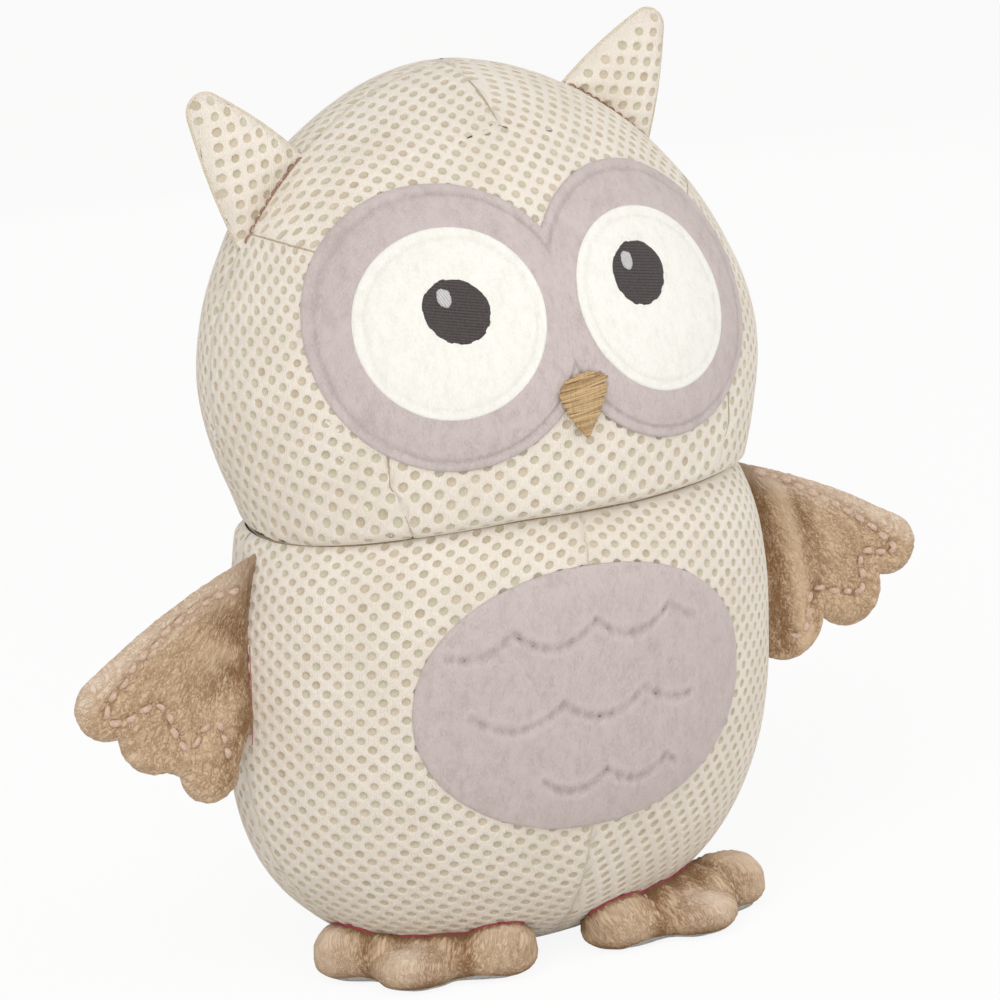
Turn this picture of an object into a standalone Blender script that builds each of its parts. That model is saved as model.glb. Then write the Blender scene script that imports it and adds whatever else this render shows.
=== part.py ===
"""A stuffed plush owl, 0.2 m tall, standing on its base and two feet.

Lengths are in metres, +Z is up and the owl faces -Y, so its left side is at +X. The origin is the centre of the
flat base. Head and body are stacks of ovals along a leaning centre line, sewn together at a tilted neck seam.
The wings, the ears and the feet are padded pieces that start where those forms end, and the face and the belly
patch lie on them.
"""

import math

import bmesh
import bpy
from mathutils import Matrix, Vector

# Clearances
GAP = 0.0003
ROOT_GAP = 0.0007
SKIN_LIFT = 0.0005
OVERRUN = 0.006
PROBE = 0.0002

# Fabrics and threads
MESH_THICKNESS = 0.0015
PLUSH_THICKNESS = 0.0008
THREAD_RADIUS = 0.0004
SEAM_ROUNDING = 0.0026

# Neck seam: a plane that rises towards the front
NECK_HEIGHT = 0.106
NECK_TILT_SHARE = 0.10
NECK_TILT_REACH = 0.030

# Body: mid height, the heights above and below it, half width, front and back depth
BODY_MID = 0.0652
BODY_UPPER = 0.0677
BODY_LOWER = 0.0657
BODY_HALF_WIDTH = 0.0651
BODY_FRONT = 0.0488
BODY_BACK = 0.0498
BODY_FULLNESS = 2.6
BODY_LEAN_SHARE = -0.17
BASE_SEAM_HEIGHT = 0.0042
BODY_RING_SHARES = (0, 0.03, 0.075, 0.14, 0.24, 0.37, 0.52, 0.67, 0.8, 0.9, 0.96, 0.985, 0.993, 1)

# Head
HEAD_MID = 0.1369
HEAD_UPPER = 0.0667
HEAD_LOWER = 0.0752
HEAD_HALF_WIDTH = 0.0649
HEAD_FRONT = 0.0515
HEAD_BACK = 0.0520
HEAD_FULLNESS = 1.8
HEAD_LEAN_SHARE = 0.09
HEAD_RING_SHARES = (0, 0.007, 0.016, 0.03, 0.08, 0.18, 0.31, 0.45, 0.59, 0.72, 0.83, 0.91, 0.965, 0.992)

SEGMENTS = 32
NECK_POINTS = 48

# Ears: the place of the root on the head, then the shape above it
EAR_ANGLES = {"left": 38.5, "right": 45.5}
EAR_SET_BACK = 0.002
EAR_ROOT_HALF_WIDTH = 0.0138
EAR_HEIGHT = 0.0252
EAR_TIP_RADIUS = 0.0040
EAR_TIP_SHIFT = 0.0034
EAR_HALF_THICKNESS = 0.0042
EAR_STRETCHES = (7, 4, 5, 4)

# Wings, seen from the front in the plane of the neck's centre
WING_ROOT_TOP = 0.1018
WING_ROOT_BOTTOM = 0.0540
WING_TIP = (0.0985, 0.0765)
WING_TIP_RADIUS = 0.0075
WING_MIDDLE_FEATHER = (0.0880, 0.0672)
WING_MIDDLE_RADIUS = 0.0089
WING_INNER_FEATHER = (0.0728, 0.0603)
WING_INNER_RADIUS = 0.0093
WING_TOP_BULGE = 0.0022
WING_HALF_THICKNESS = 0.0034
WING_STRETCHES = (5, 7, 6, 5, 6)
WING_HEM = 0.0052
WING_STITCH_INSET = 0.0100

RIM_HALF_THICKNESS = 0.0011
ROOT_TAPER = 0.0070

# Feet: place and turn of each, then the toes and the heel as circles ahead of and beside that place
FOOT_PLACES = {"left": (0.0289, -0.0261), "right": (0.0280, -0.0201)}
FOOT_TURNS = {"left": 13.5, "right": 38.0}
FOOT_HEIGHT = 0.0132
FOOT_FULLNESS = 2.6
FOOT_CREST = (0.0045, 0.0005)
TOE_CENTRES = ((0.0060, 0.0178), (0.0112, 0.0005), (0.0065, -0.0172))
TOE_RADII = (0.0083, 0.0102, 0.0083)
WEB_CENTRES = ((0.0030, 0.0092), (0.0035, -0.0086))
WEB_RADIUS = 0.0105
HEEL_CENTRE = (0.0000, 0.0000)
HEEL_RADIUS = 0.0110
FOOT_RING_SHARES = (1, 0.985, 0.92, 0.78, 0.5)
FOOT_POINTS = 36
SOLE_THICKNESS = 0.0010

# Face, as places across (x) and up (z) on the head's front
MASK_THICKNESS = 0.0012
MASK_LOBES = {"left": (0.0220, 0.1518), "right": (-0.0246, 0.1520)}
MASK_LOBE_RADIUS = 0.0290
EYE_THICKNESS = 0.0009
EYE_RADIUS = 0.0193
PUPIL_THICKNESS = 0.0006
PUPIL_RADIUS = 0.0067
PUPIL_PLACES = {"left": (0.0186, 0.1576), "right": (-0.0241, 0.1557)}
HIGHLIGHT_THICKNESS = 0.0004
HIGHLIGHT_HALF_WIDTH = 0.0014
HIGHLIGHT_HALF_HEIGHT = 0.0021
HIGHLIGHT_SHIFT = (-0.0026, 0.0030)
BEAK_THICKNESS = 0.0014
BEAK_HALF_WIDTH = 0.0058
BEAK_SHOULDER = 0.1362
BEAK_TOP = 0.0036
BEAK_LENGTH = 0.0106

# Belly patch and its scalloped stitching: left end, right end, one crest, pitch, lowest height, depth
PATCH_THICKNESS = 0.0012
PATCH_HEIGHT = 0.0662
PATCH_HALF_WIDTH = 0.0400
PATCH_HALF_HEIGHT = 0.0308
PATCH_FULLNESS = 2.15
PATCH_TURN = -5.0
SCALLOPS = {
    "upper": (-0.0330, 0.0250, -0.0004, 0.0188, 0.0802, 0.0048),
    "middle": (-0.0284, 0.0242, -0.0086, 0.0200, 0.0626, 0.0046),
    "lower": (-0.0126, 0.0194, 0.0019, 0.0152, 0.0462, 0.0036),
}
SCALLOP_POINTS = 22

EDGE_SHARE = 0.6
PATCH_STEP = 0.0085

SIDES = {"left": 1, "right": -1}

# Colour, roughness and metallic value of each material
FINISHES = {
    "mesh_fabric": ((0.78, 0.73, 0.62, 1), 0.85, 0),
    "mauve_plush": ((0.56, 0.50, 0.50, 1), 0.95, 0),
    "white_fleece": ((0.93, 0.92, 0.86, 1), 0.95, 0),
    "charcoal_thread": ((0.07, 0.06, 0.06, 1), 0.60, 0),
    "pale_thread": ((0.62, 0.60, 0.58, 1), 0.60, 0),
    "golden_thread": ((0.47, 0.34, 0.17, 1), 0.55, 0),
    "brown_plush": ((0.45, 0.32, 0.21, 1), 0.92, 0),
    "topstitch_thread": ((0.75, 0.60, 0.50, 1), 0.60, 0),
    "feather_thread": ((0.33, 0.28, 0.29, 1), 0.70, 0),
    "seam_thread": ((0.50, 0.44, 0.34, 1), 0.70, 0),
    "crimson_thread": ((0.40, 0.06, 0.09, 1), 0.70, 0),
    "fibre_stuffing": ((0.90, 0.90, 0.88, 1), 1.00, 0),
}

MATERIALS = {}


def clear_scene():
    for obj in list(bpy.data.objects):
        bpy.data.objects.remove(obj, do_unlink=True)


def make_materials():
    for name, (colour, roughness, metallic) in FINISHES.items():
        material = bpy.data.materials.new(name)
        material.use_nodes = True
        shader = material.node_tree.nodes["Principled BSDF"]
        shader.inputs["Base Color"].default_value = colour
        shader.inputs["Roughness"].default_value = roughness
        shader.inputs["Metallic"].default_value = metallic
        material.diffuse_color = colour
        MATERIALS[name] = material


def add_object(name, mesh, finish):
    obj = bpy.data.objects.new(name, mesh)
    bpy.context.scene.collection.objects.link(obj)
    if finish:
        mesh.materials.append(MATERIALS[finish])
    return obj


def mesh_object(name, rings, finish, first=None, last=None):
    """A closed skin through rings of points. An end is a point to close to, or a flat face if left out."""
    bm = bmesh.new()
    loops = [[bm.verts.new(point) for point in ring] for ring in rings]
    count = len(rings[0])
    for below, above in zip(loops, loops[1:]):
        for i in range(count):
            j = (i + 1) % count
            bm.faces.new((below[i], below[j], above[j], above[i]))
    for loop, tip in ((loops[0], first), (loops[-1], last)):
        if tip is None:
            bm.faces.new(loop)
            continue
        peak = bm.verts.new(tip)
        for i in range(count):
            bm.faces.new((loop[i], loop[(i + 1) % count], peak))
    bmesh.ops.recalc_face_normals(bm, faces=bm.faces)
    mesh = bpy.data.meshes.new(name)
    bm.to_mesh(mesh)
    bm.free()
    mesh.shade_smooth()
    mesh.set_sharp_from_angle(angle=math.radians(50))
    return add_object(name, mesh, finish)


def helper(obj):
    obj.hide_render = True
    obj.display_type = "WIRE"
    return obj


def box(name, low, high):
    """A cutter between two corners."""
    low, high = Vector(low), Vector(high)
    bm = bmesh.new()
    bmesh.ops.create_cube(bm, size=1)
    for vert in bm.verts:
        vert.co = [low[i] + (vert.co[i] + 0.5) * (high[i] - low[i]) for i in range(3)]
    mesh = bpy.data.meshes.new(name)
    bm.to_mesh(mesh)
    bm.free()
    return helper(add_object(name, mesh, None))


def boolean(obj, operation, cutter):
    modifier = obj.modifiers.new(operation.title(), "BOOLEAN")
    modifier.operation = operation
    modifier.object = cutter
    modifier.solver = "EXACT"


def thread(name, points, finish, closed=False):
    """A sewn thread along a path, with a four-sided section."""
    curve = bpy.data.curves.new(name, "CURVE")
    curve.dimensions = "3D"
    curve.bevel_depth = THREAD_RADIUS
    curve.bevel_resolution = 0
    curve.use_fill_caps = not closed
    spline = curve.splines.new("POLY")
    spline.points.add(len(points) - 1)
    for knot, point in zip(spline.points, points):
        knot.co = (*point, 1)
    spline.use_cyclic_u = closed
    return add_object(name, curve, finish)


def seam_pull(distance):
    """The share by which a seam draws the fabric in, at this distance from it."""
    if distance >= SEAM_ROUNDING:
        return 0
    return 1 - math.sqrt(1 - (1 - distance / SEAM_ROUNDING) ** 2)


class Form:
    """A stuffed form: ovals along a centre line that leans, drawn in at the neck seam."""

    def __init__(self, mid, upper, lower, half_width, front, back, fullness, lean, growth=0.0):
        self.mid, self.upper, self.lower = mid, upper, lower
        self.half_width, self.front, self.back = half_width, front, back
        self.fullness, self.lean, self.growth = fullness, lean, growth

    def grown(self, by):
        """The same form with its skin moved out, or in for a negative distance."""
        return Form(
            self.mid,
            self.upper + by,
            self.lower + by,
            self.half_width + by,
            self.front + by,
            self.back + by,
            self.fullness,
            self.lean,
            by,
        )

    def centre(self, height):
        return NECK_CENTRE + self.lean * (height - NECK_HEIGHT)

    def swell(self, height):
        """The share of its full width that the form has at a height."""
        reach = self.upper if height > self.mid else self.lower
        share = min(1, abs(height - self.mid) / reach)
        return (1 - share**self.fullness) ** (1 / self.fullness)

    def full_axes(self, height, y):
        """Half width and depth without the neck's seam."""
        depth = self.front if y < self.centre(height) else self.back
        swell = self.swell(height)
        return self.half_width * swell, depth * swell

    def half_axes(self, height, y):
        width, depth = self.full_axes(height, y)
        pull = seam_pull(abs(height - neck_height(y)))
        if pull == 0:
            return width, depth
        to_width, to_depth = neck_axes(y)
        width += pull * (to_width + self.growth - width)
        depth += pull * (to_depth + self.growth - depth)
        return width, depth

    def round_point(self, nominal, angle, tilt=0.0):
        """The skin's point at an angle of the ring that has this height over the centre line."""
        side = math.sin(angle)
        y = self.centre(nominal) + side * PROBE
        height = nominal
        for _ in range(8):
            width, depth = self.half_axes(height, y)
            y = self.centre(height) + side * depth
            height = nominal - tilt * NECK_TILT_SHARE * (y - NECK_CENTRE)
        return Vector((width * math.cos(angle), y, height))

    def ring(self, nominal, segments):
        tilt = max(0, 1 - abs(nominal - NECK_HEIGHT) / NECK_TILT_REACH)
        turns = [math.tau * (i + 0.5) / segments for i in range(segments)]
        return [self.round_point(nominal, turn, tilt) for turn in turns]

    def front_point(self, x, height):
        """The skin's point straight ahead of a place across and up."""
        y = self.centre(height) - PROBE
        for _ in range(3):
            width, depth = self.half_axes(height, y)
            y = self.centre(height) - depth * math.sqrt(max(0, 1 - (x / width) ** 2))
        return Vector((x, y, height))

    def side_reach(self, height, y):
        """How far out the skin lies at a height, in the upright plane at this y."""
        width, depth = self.half_axes(height, y)
        return width * math.sqrt(max(0, 1 - ((y - self.centre(height)) / depth) ** 2))

    def over(self, x, height, lift):
        """A point that lies this far off the front of the skin."""
        here = self.front_point(x, height)
        across = self.front_point(x + PROBE, height) - here
        upward = self.front_point(x, height + PROBE) - here
        normal = across.cross(upward).normalized()
        return here + normal * lift


NECK_CENTRE = BODY_LEAN_SHARE * NECK_HEIGHT
HEAD = Form(
    HEAD_MID,
    HEAD_UPPER,
    HEAD_LOWER,
    HEAD_HALF_WIDTH,
    HEAD_FRONT,
    HEAD_BACK,
    HEAD_FULLNESS,
    HEAD_LEAN_SHARE,
)
BODY = Form(
    BODY_MID,
    BODY_UPPER,
    BODY_LOWER,
    BODY_HALF_WIDTH,
    BODY_FRONT,
    BODY_BACK,
    BODY_FULLNESS,
    BODY_LEAN_SHARE,
)


def neck_height(y):
    """The height of the neck seam's plane."""
    return NECK_HEIGHT - NECK_TILT_SHARE * (y - NECK_CENTRE)


def neck_axes(y):
    """The neck seam's half width and depth, ahead or behind."""
    height = neck_height(y)
    widths, depths = zip(*(form.full_axes(height, y) for form in (HEAD, BODY)))
    return min(widths) - SEAM_ROUNDING, min(depths) - SEAM_ROUNDING


def moved(ring, rise):
    return [point + Vector((0, 0, rise)) for point in ring]


def body_solid(name, inset, finish, overrun=0.0):
    """The body's form, with its skin moved in and its base flat. It can run on past the neck."""
    form = BODY.grown(-inset)
    top = NECK_HEIGHT - (GAP if inset > 0 else GAP / 2)
    rings = [form.ring(inset + share * (top - inset), SEGMENTS) for share in BODY_RING_SHARES]
    if overrun:
        rings.append(moved(rings[-1], overrun))
    return mesh_object(name, rings, finish)


def head_solid(name, inset, finish, overrun=0.0):
    """The head's form, with its skin moved in and its crown round. It can run on past the neck."""
    form = HEAD.grown(-inset)
    bottom = NECK_HEIGHT + (GAP if inset > 0 else GAP / 2)
    top = form.mid + form.upper
    rings = [form.ring(bottom + share * (top - bottom), SEGMENTS) for share in HEAD_RING_SHARES]
    if overrun:
        rings.insert(0, moved(rings[0], -overrun))
    crown = Vector((0, form.centre(top), top))
    return mesh_object(name, rings, finish, last=crown)


def halves(centre, far):
    """The stretches of one axis on each side of a seam, with the gap between them."""
    return (centre - far, centre - GAP / 2), (centre + GAP / 2, centre + far)


def sew_panels():
    """The mesh-fabric skins of head and body, each cut from a hollow form, and the stuffing in them."""
    far = HEAD_HALF_WIDTH + BODY_HALF_WIDTH + HEAD_MID
    head_core = helper(head_solid("head_core", MESH_THICKNESS, None, OVERRUN))
    body_core = helper(body_solid("body_core", MESH_THICKNESS, None, OVERRUN))
    head_ahead, head_behind = halves(HEAD.centre(HEAD_MID) + EAR_SET_BACK, far)
    body_ahead, body_behind = halves(BODY.centre(BODY_MID), far)
    right, left = halves(0, far)
    both = (-far, far)
    above = (BASE_SEAM_HEIGHT + GAP / 2, far)
    below = (-far, BASE_SEAM_HEIGHT - GAP / 2)
    panels = {
        "head_front_panel": (head_solid, head_core, both, head_ahead, both),
        "head_back_panel_left": (head_solid, head_core, left, head_behind, both),
        "head_back_panel_right": (head_solid, head_core, right, head_behind, both),
        "body_front_panel_left": (body_solid, body_core, left, body_ahead, above),
        "body_front_panel_right": (body_solid, body_core, right, body_ahead, above),
        "body_back_panel_left": (body_solid, body_core, left, body_behind, above),
        "body_back_panel_right": (body_solid, body_core, right, body_behind, above),
        "body_base_panel": (body_solid, body_core, both, both, below),
    }
    for name, (solid, core, *stretches) in panels.items():
        panel = solid(name, 0, "mesh_fabric")
        boolean(panel, "DIFFERENCE", core)
        region = box(name + "_region", *zip(*stretches))
        boolean(panel, "INTERSECT", region)
    inset = MESH_THICKNESS + GAP
    head_solid("head_stuffing", inset, "fibre_stuffing")
    body_solid("body_stuffing", inset, "fibre_stuffing")


def sew_neck():
    """The thread that shows in the crease of the neck, as deep in as it clears both skins."""
    clear = THREAD_RADIUS + 2 * GAP
    steps = [2 * SEAM_ROUNDING * (i + 1) / SEGMENTS for i in range(SEGMENTS)]
    points = []
    for i in range(NECK_POINTS):
        angle = math.tau * i / NECK_POINTS
        start = BODY.round_point(NECK_HEIGHT, angle, 1)
        out = (start - Vector((0, NECK_CENTRE, start.z))).normalized()
        skins = [HEAD.round_point(NECK_HEIGHT + step, angle, 1) - start for step in steps]
        skins += [BODY.round_point(NECK_HEIGHT - step, angle, 1) - start for step in steps]
        reach = 0
        while min((skin - reach * out).length for skin in skins) < clear:
            reach += PROBE
        points.append(start + reach * out)
    thread("neck_seam_thread", points, "seam_thread", closed=True)


def circle(centre, radius, count):
    """Points round a circle, as places across and up."""
    turns = [math.tau * i / count for i in range(count)]
    return [(centre[0] + radius * math.cos(t), centre[1] + radius * math.sin(t)) for t in turns]


def lobes(centre, circles, count, turn=0.0):
    """Points round the outline of circles that overlap, as seen from a point inside them."""
    points = []
    for i in range(count):
        angle = turn + math.tau * i / count
        ray = Vector((math.cos(angle), math.sin(angle)))
        reach = 0
        for middle, radius in circles:
            offset = Vector(middle) - Vector(centre)
            along = offset.dot(ray)
            inside = radius**2 - offset.length_squared + along**2
            if inside > 0:
                reach = max(reach, along + math.sqrt(inside))
        points.append((centre[0] + reach * ray.x, centre[1] + reach * ray.y))
    return points


def lay_patch(name, form, outline, middle, lift, thickness, finish):
    """A flat piece that lies on the front of a form, with a slightly rounded edge."""
    reach = max((Vector(place) - Vector(middle)).length for place in outline)
    count = math.ceil(reach / PATCH_STEP)
    shares = [math.sin(math.pi / 2 * (i + 1) / count) for i in range(count)]

    def ring(share, height):
        places = [
            (middle[0] + share * (x - middle[0]), middle[1] + share * (z - middle[1]))
            for x, z in outline
        ]
        return [form.over(x, z, height) for x, z in places]

    under = [ring(share, lift) for share in shares]
    top = [ring(share, lift + thickness * (EDGE_SHARE if share == 1 else 1)) for share in reversed(shares)]
    return mesh_object(
        name,
        under + top,
        finish,
        first=form.over(*middle, lift),
        last=form.over(*middle, lift + thickness),
    )


def make_face():
    """The mask, and on it the eyes, pupils, highlights and beak."""
    middle = (0, MASK_LOBES["left"][1])
    circles = [(lobe, MASK_LOBE_RADIUS) for lobe in MASK_LOBES.values()]
    outline = lobes(middle, circles, 44, math.tau / 4)
    lay_patch("face_mask", HEAD, outline, middle, SKIN_LIFT, MASK_THICKNESS, "mauve_plush")
    on_mask = SKIN_LIFT + MASK_THICKNESS + GAP
    on_eye = on_mask + EYE_THICKNESS + GAP
    on_pupil = on_eye + PUPIL_THICKNESS + GAP
    for name, eye in MASK_LOBES.items():
        outline = circle(eye, EYE_RADIUS, 26)
        lay_patch("eye_white_" + name, HEAD, outline, eye, on_mask, EYE_THICKNESS, "white_fleece")
        pupil = PUPIL_PLACES[name]
        outline = circle(pupil, PUPIL_RADIUS, 16)
        lay_patch("pupil_" + name, HEAD, outline, pupil, on_eye, PUPIL_THICKNESS, "charcoal_thread")
        light = (pupil[0] + HIGHLIGHT_SHIFT[0], pupil[1] + HIGHLIGHT_SHIFT[1])
        outline = [
            (light[0] + HIGHLIGHT_HALF_WIDTH * x, light[1] + HIGHLIGHT_HALF_HEIGHT * z)
            for x, z in circle((0, 0), 1, 10)
        ]
        lay_patch("eye_highlight_" + name, HEAD, outline, light, on_pupil, HIGHLIGHT_THICKNESS, "pale_thread")
    outline = beak_outline()
    middle = (0, BEAK_SHOULDER - BEAK_TOP / 2)
    lay_patch("beak", HEAD, outline, middle, on_mask, BEAK_THICKNESS, "golden_thread")


def beak_outline():
    """A round top between two shoulders, drawn in to a point."""
    count = 7
    top = []
    for i in range(count):
        angle = math.pi * i / (count - 1)
        top.append((BEAK_HALF_WIDTH * math.cos(angle), BEAK_SHOULDER + BEAK_TOP * math.sin(angle)))
    sides = []
    for i in range(1, 2 * count - 2):
        share = 1 - abs(1 - i / (count - 1))
        half_width = BEAK_HALF_WIDTH * (1 - share**1.5)
        side = -1 if i < count - 1 else 1
        sides.append((side * half_width, BEAK_SHOULDER - BEAK_LENGTH * share))
    return top + sides


def make_belly():
    """The oval patch and the three rows of scalloped stitching on it."""
    middle = (0, PATCH_HEIGHT)
    turn = math.radians(PATCH_TURN)
    outline = []
    for i in range(36):
        angle = math.tau * i / 36
        power = 2 / PATCH_FULLNESS
        across = PATCH_HALF_WIDTH * math.copysign(abs(math.cos(angle)) ** power, math.cos(angle))
        upward = PATCH_HALF_HEIGHT * math.copysign(abs(math.sin(angle)) ** power, math.sin(angle))
        x = across * math.cos(turn) - upward * math.sin(turn)
        z = across * math.sin(turn) + upward * math.cos(turn)
        outline.append((x, PATCH_HEIGHT + z))
    lay_patch("tummy_patch", BODY, outline, middle, SKIN_LIFT, PATCH_THICKNESS, "mauve_plush")
    lift = SKIN_LIFT + PATCH_THICKNESS + GAP + THREAD_RADIUS
    for name, (start, end, crest, pitch, low, depth) in SCALLOPS.items():
        points = []
        for i in range(SCALLOP_POINTS):
            x = start + (end - start) * i / (SCALLOP_POINTS - 1)
            phase = (x - crest) / pitch % 1
            points.append(BODY.over(x, low + depth * (2 * phase - 1) ** 2, lift))
        thread("feather_stitch_" + name, points, "feather_thread")


def inside_share(outline, middle, place):
    """How far out a place lies: 0 in the middle and 1 on the outline."""
    ray = Vector(place) - Vector(middle)
    if ray.length < PROBE:
        return 0
    for first, second in zip(outline, outline[1:] + outline[:1]):
        start = Vector(first) - Vector(middle)
        edge = Vector(second) - Vector(first)
        across = ray.cross(edge)
        if across == 0:
            continue
        reach = start.cross(edge) / across
        along = start.cross(ray) / across
        if reach > 0 and 0 <= along <= 1:
            return min(1, 1 / reach)
    return 1


class Pillow:
    """A thin padded piece in an upright plane: two panels sewn at the rim, and the padding in them."""

    def __init__(self, outline, middle, plane, half_thickness, root):
        self.outline, self.middle, self.plane = outline, middle, plane
        self.half_thickness, self.root = half_thickness, root

    def rise(self, place, share, inset=0.0):
        """How far the surface stands off the middle plane, thin at the rim and at the root."""
        crown = math.sqrt(max(0, 1 - share**2))
        rooted = min(1, max(0, self.root(place)) / ROOT_TAPER)
        full = self.half_thickness - RIM_HALF_THICKNESS
        rise = RIM_HALF_THICKNESS + full * min(crown, math.sin(rooted * math.pi / 2))
        return max(GAP / 2, rise - inset)

    def places(self, share):
        x0, z0 = self.middle
        return [(x0 + share * (x - x0), z0 + share * (z - z0)) for x, z in self.outline]

    def sheet(self, side, share, inset, rim=1.0):
        """One ring of a surface on the front (-1) or back (1)."""
        return [
            Vector((x, self.plane + side * self.rise((x, z), share, inset), z))
            for x, z in self.places(share * rim)
        ]

    def tip(self, side, inset):
        x, z = self.middle
        return Vector((x, self.plane + side * self.rise(self.middle, 0, inset), z))

    def panel(self, name, side, thickness, finish, ring_shares):
        """One panel, from the middle plane or its own thickness in, to the outer surface."""
        shares = (*ring_shares, 1)
        inner = [self.sheet(side, share, thickness) for share in shares]
        outer = [self.sheet(side, share, 0) for share in reversed(shares)]
        return mesh_object(
            name,
            inner + outer,
            finish,
            first=self.tip(side, thickness),
            last=self.tip(side, 0),
        )

    def padding(self, name, thickness, rim_share, ring_shares):
        inset = thickness + GAP
        shares = (*ring_shares, 1)
        front = [self.sheet(-1, share, inset, rim_share) for share in shares]
        back = [self.sheet(1, share, inset, rim_share) for share in reversed(shares)]
        return mesh_object(
            name,
            front + back,
            "fibre_stuffing",
            first=self.tip(-1, inset),
            last=self.tip(1, inset),
        )


def arc(centre, radius, start, end, count):
    """Points along an arc, from one angle to another in radians."""
    angles = [start + (end - start) * i / (count - 1) for i in range(count)]
    return [(centre[0] + radius * math.cos(a), centre[1] + radius * math.sin(a)) for a in angles]


def straight(first, second, count):
    """Points between two places, without either end."""
    first, second = Vector(first), Vector(second)
    return [tuple(first.lerp(second, (i + 1) / (count + 1))) for i in range(count)]


def hinge(name, place, nodes):
    """An empty on a joint's axis, which carries the pieces that turn on it."""
    empty = bpy.data.objects.new(name, None)
    empty.location = place
    bpy.context.scene.collection.objects.link(empty)
    for node in nodes:
        node.parent = empty
        node.matrix_parent_inverse = Matrix.Translation(-Vector(place))
    return empty


def circles_meet(first, first_radius, second, second_radius, side):
    """The place where two circles cross, on the side of their centres' line that is asked for."""
    first, second = Vector(first), Vector(second)
    between = second - first
    apart = between.length
    along = (apart**2 + first_radius**2 - second_radius**2) / (2 * apart)
    off = math.sqrt(max(0, first_radius**2 - along**2))
    unit = between / apart
    return first + unit * along + side * off * Vector((-unit.y, unit.x))


def angle_to(centre, place):
    return math.atan2(place[1] - centre[1], place[0] - centre[0])


def wing_outline(plane):
    """The left wing from the front: root, straight top edge, and three feathers."""
    to_root, to_top, to_tip, to_middle, to_inner = WING_STRETCHES

    def root(height):
        return BODY.side_reach(height, plane) + ROOT_GAP

    root_line = []
    for i in range(to_root):
        height = WING_ROOT_BOTTOM + (WING_ROOT_TOP - WING_ROOT_BOTTOM) * i / (to_root - 1)
        root_line.append((root(height), height))
    start = Vector(root_line[-1])
    ahead = Vector(WING_TIP) - start
    tangent = math.asin(WING_TIP_RADIUS / ahead.length)
    lean = math.atan2(ahead.y, ahead.x) + tangent
    touch = Vector(WING_TIP) + WING_TIP_RADIUS * Vector((-math.sin(lean), math.cos(lean)))
    top_edge = []
    for i in range(1, to_top):
        share = i / to_top
        bulge = WING_TOP_BULGE * math.sin(math.pi * share)
        point = start.lerp(touch, share) + bulge * Vector((-math.sin(lean), math.cos(lean)))
        top_edge.append(tuple(point))
    first_notch = circles_meet(WING_TIP, WING_TIP_RADIUS, WING_MIDDLE_FEATHER, WING_MIDDLE_RADIUS, 1)
    second_notch = circles_meet(
        WING_MIDDLE_FEATHER, WING_MIDDLE_RADIUS, WING_INNER_FEATHER, WING_INNER_RADIUS, 1
    )
    tip = arc(WING_TIP, WING_TIP_RADIUS, angle_to(WING_TIP, touch), angle_to(WING_TIP, first_notch), to_tip)
    middle_start = angle_to(WING_MIDDLE_FEATHER, first_notch)
    middle_end = angle_to(WING_MIDDLE_FEATHER, second_notch)
    if middle_start < middle_end:
        middle_start += math.tau
    middle = arc(WING_MIDDLE_FEATHER, WING_MIDDLE_RADIUS, middle_start, middle_end, to_middle + 1)
    inner_start = angle_to(WING_INNER_FEATHER, second_notch)
    inner_end = angle_to(WING_INNER_FEATHER, root_line[0])
    if inner_end > inner_start:
        inner_end -= math.tau
    inner = arc(WING_INNER_FEATHER, WING_INNER_RADIUS, inner_start, inner_end, to_inner + 2)
    return root_line + top_edge + tip + middle[1:] + inner[1:-1]


def make_wings():
    plane = NECK_CENTRE
    outline = wing_outline(plane)
    xs = [x for x, _ in outline]
    zs = [z for _, z in outline]
    middle = ((min(xs) + max(xs)) / 2, (min(zs) + max(zs)) / 2)

    def from_root(place):
        return place[0] - BODY.side_reach(place[1], plane) - ROOT_GAP

    wing = Pillow(outline, middle, plane, WING_HALF_THICKNESS, from_root)
    stitches = wing_stitches(wing)
    axis_x = max(x for x, _ in outline[: WING_STRETCHES[0]]) + RIM_HALF_THICKNESS
    axis_z = (WING_ROOT_TOP + WING_ROOT_BOTTOM) / 2
    for name, side in SIDES.items():
        nodes = [
            wing.panel(f"wing_{name}_front_panel", -1, PLUSH_THICKNESS, "brown_plush", (0.5, 0.86)),
            wing.panel(f"wing_{name}_back_panel", 1, PLUSH_THICKNESS, "brown_plush", (0.5, 0.86)),
            wing.padding(f"wing_{name}_padding", PLUSH_THICKNESS, 0.9, (0.6,)),
            thread(f"wing_{name}_topstitching", stitches, "topstitch_thread"),
        ]
        mirror(nodes, side)
        hinge(f"wing_{name}_hinge", (side * axis_x, plane, axis_z), nodes)


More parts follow.
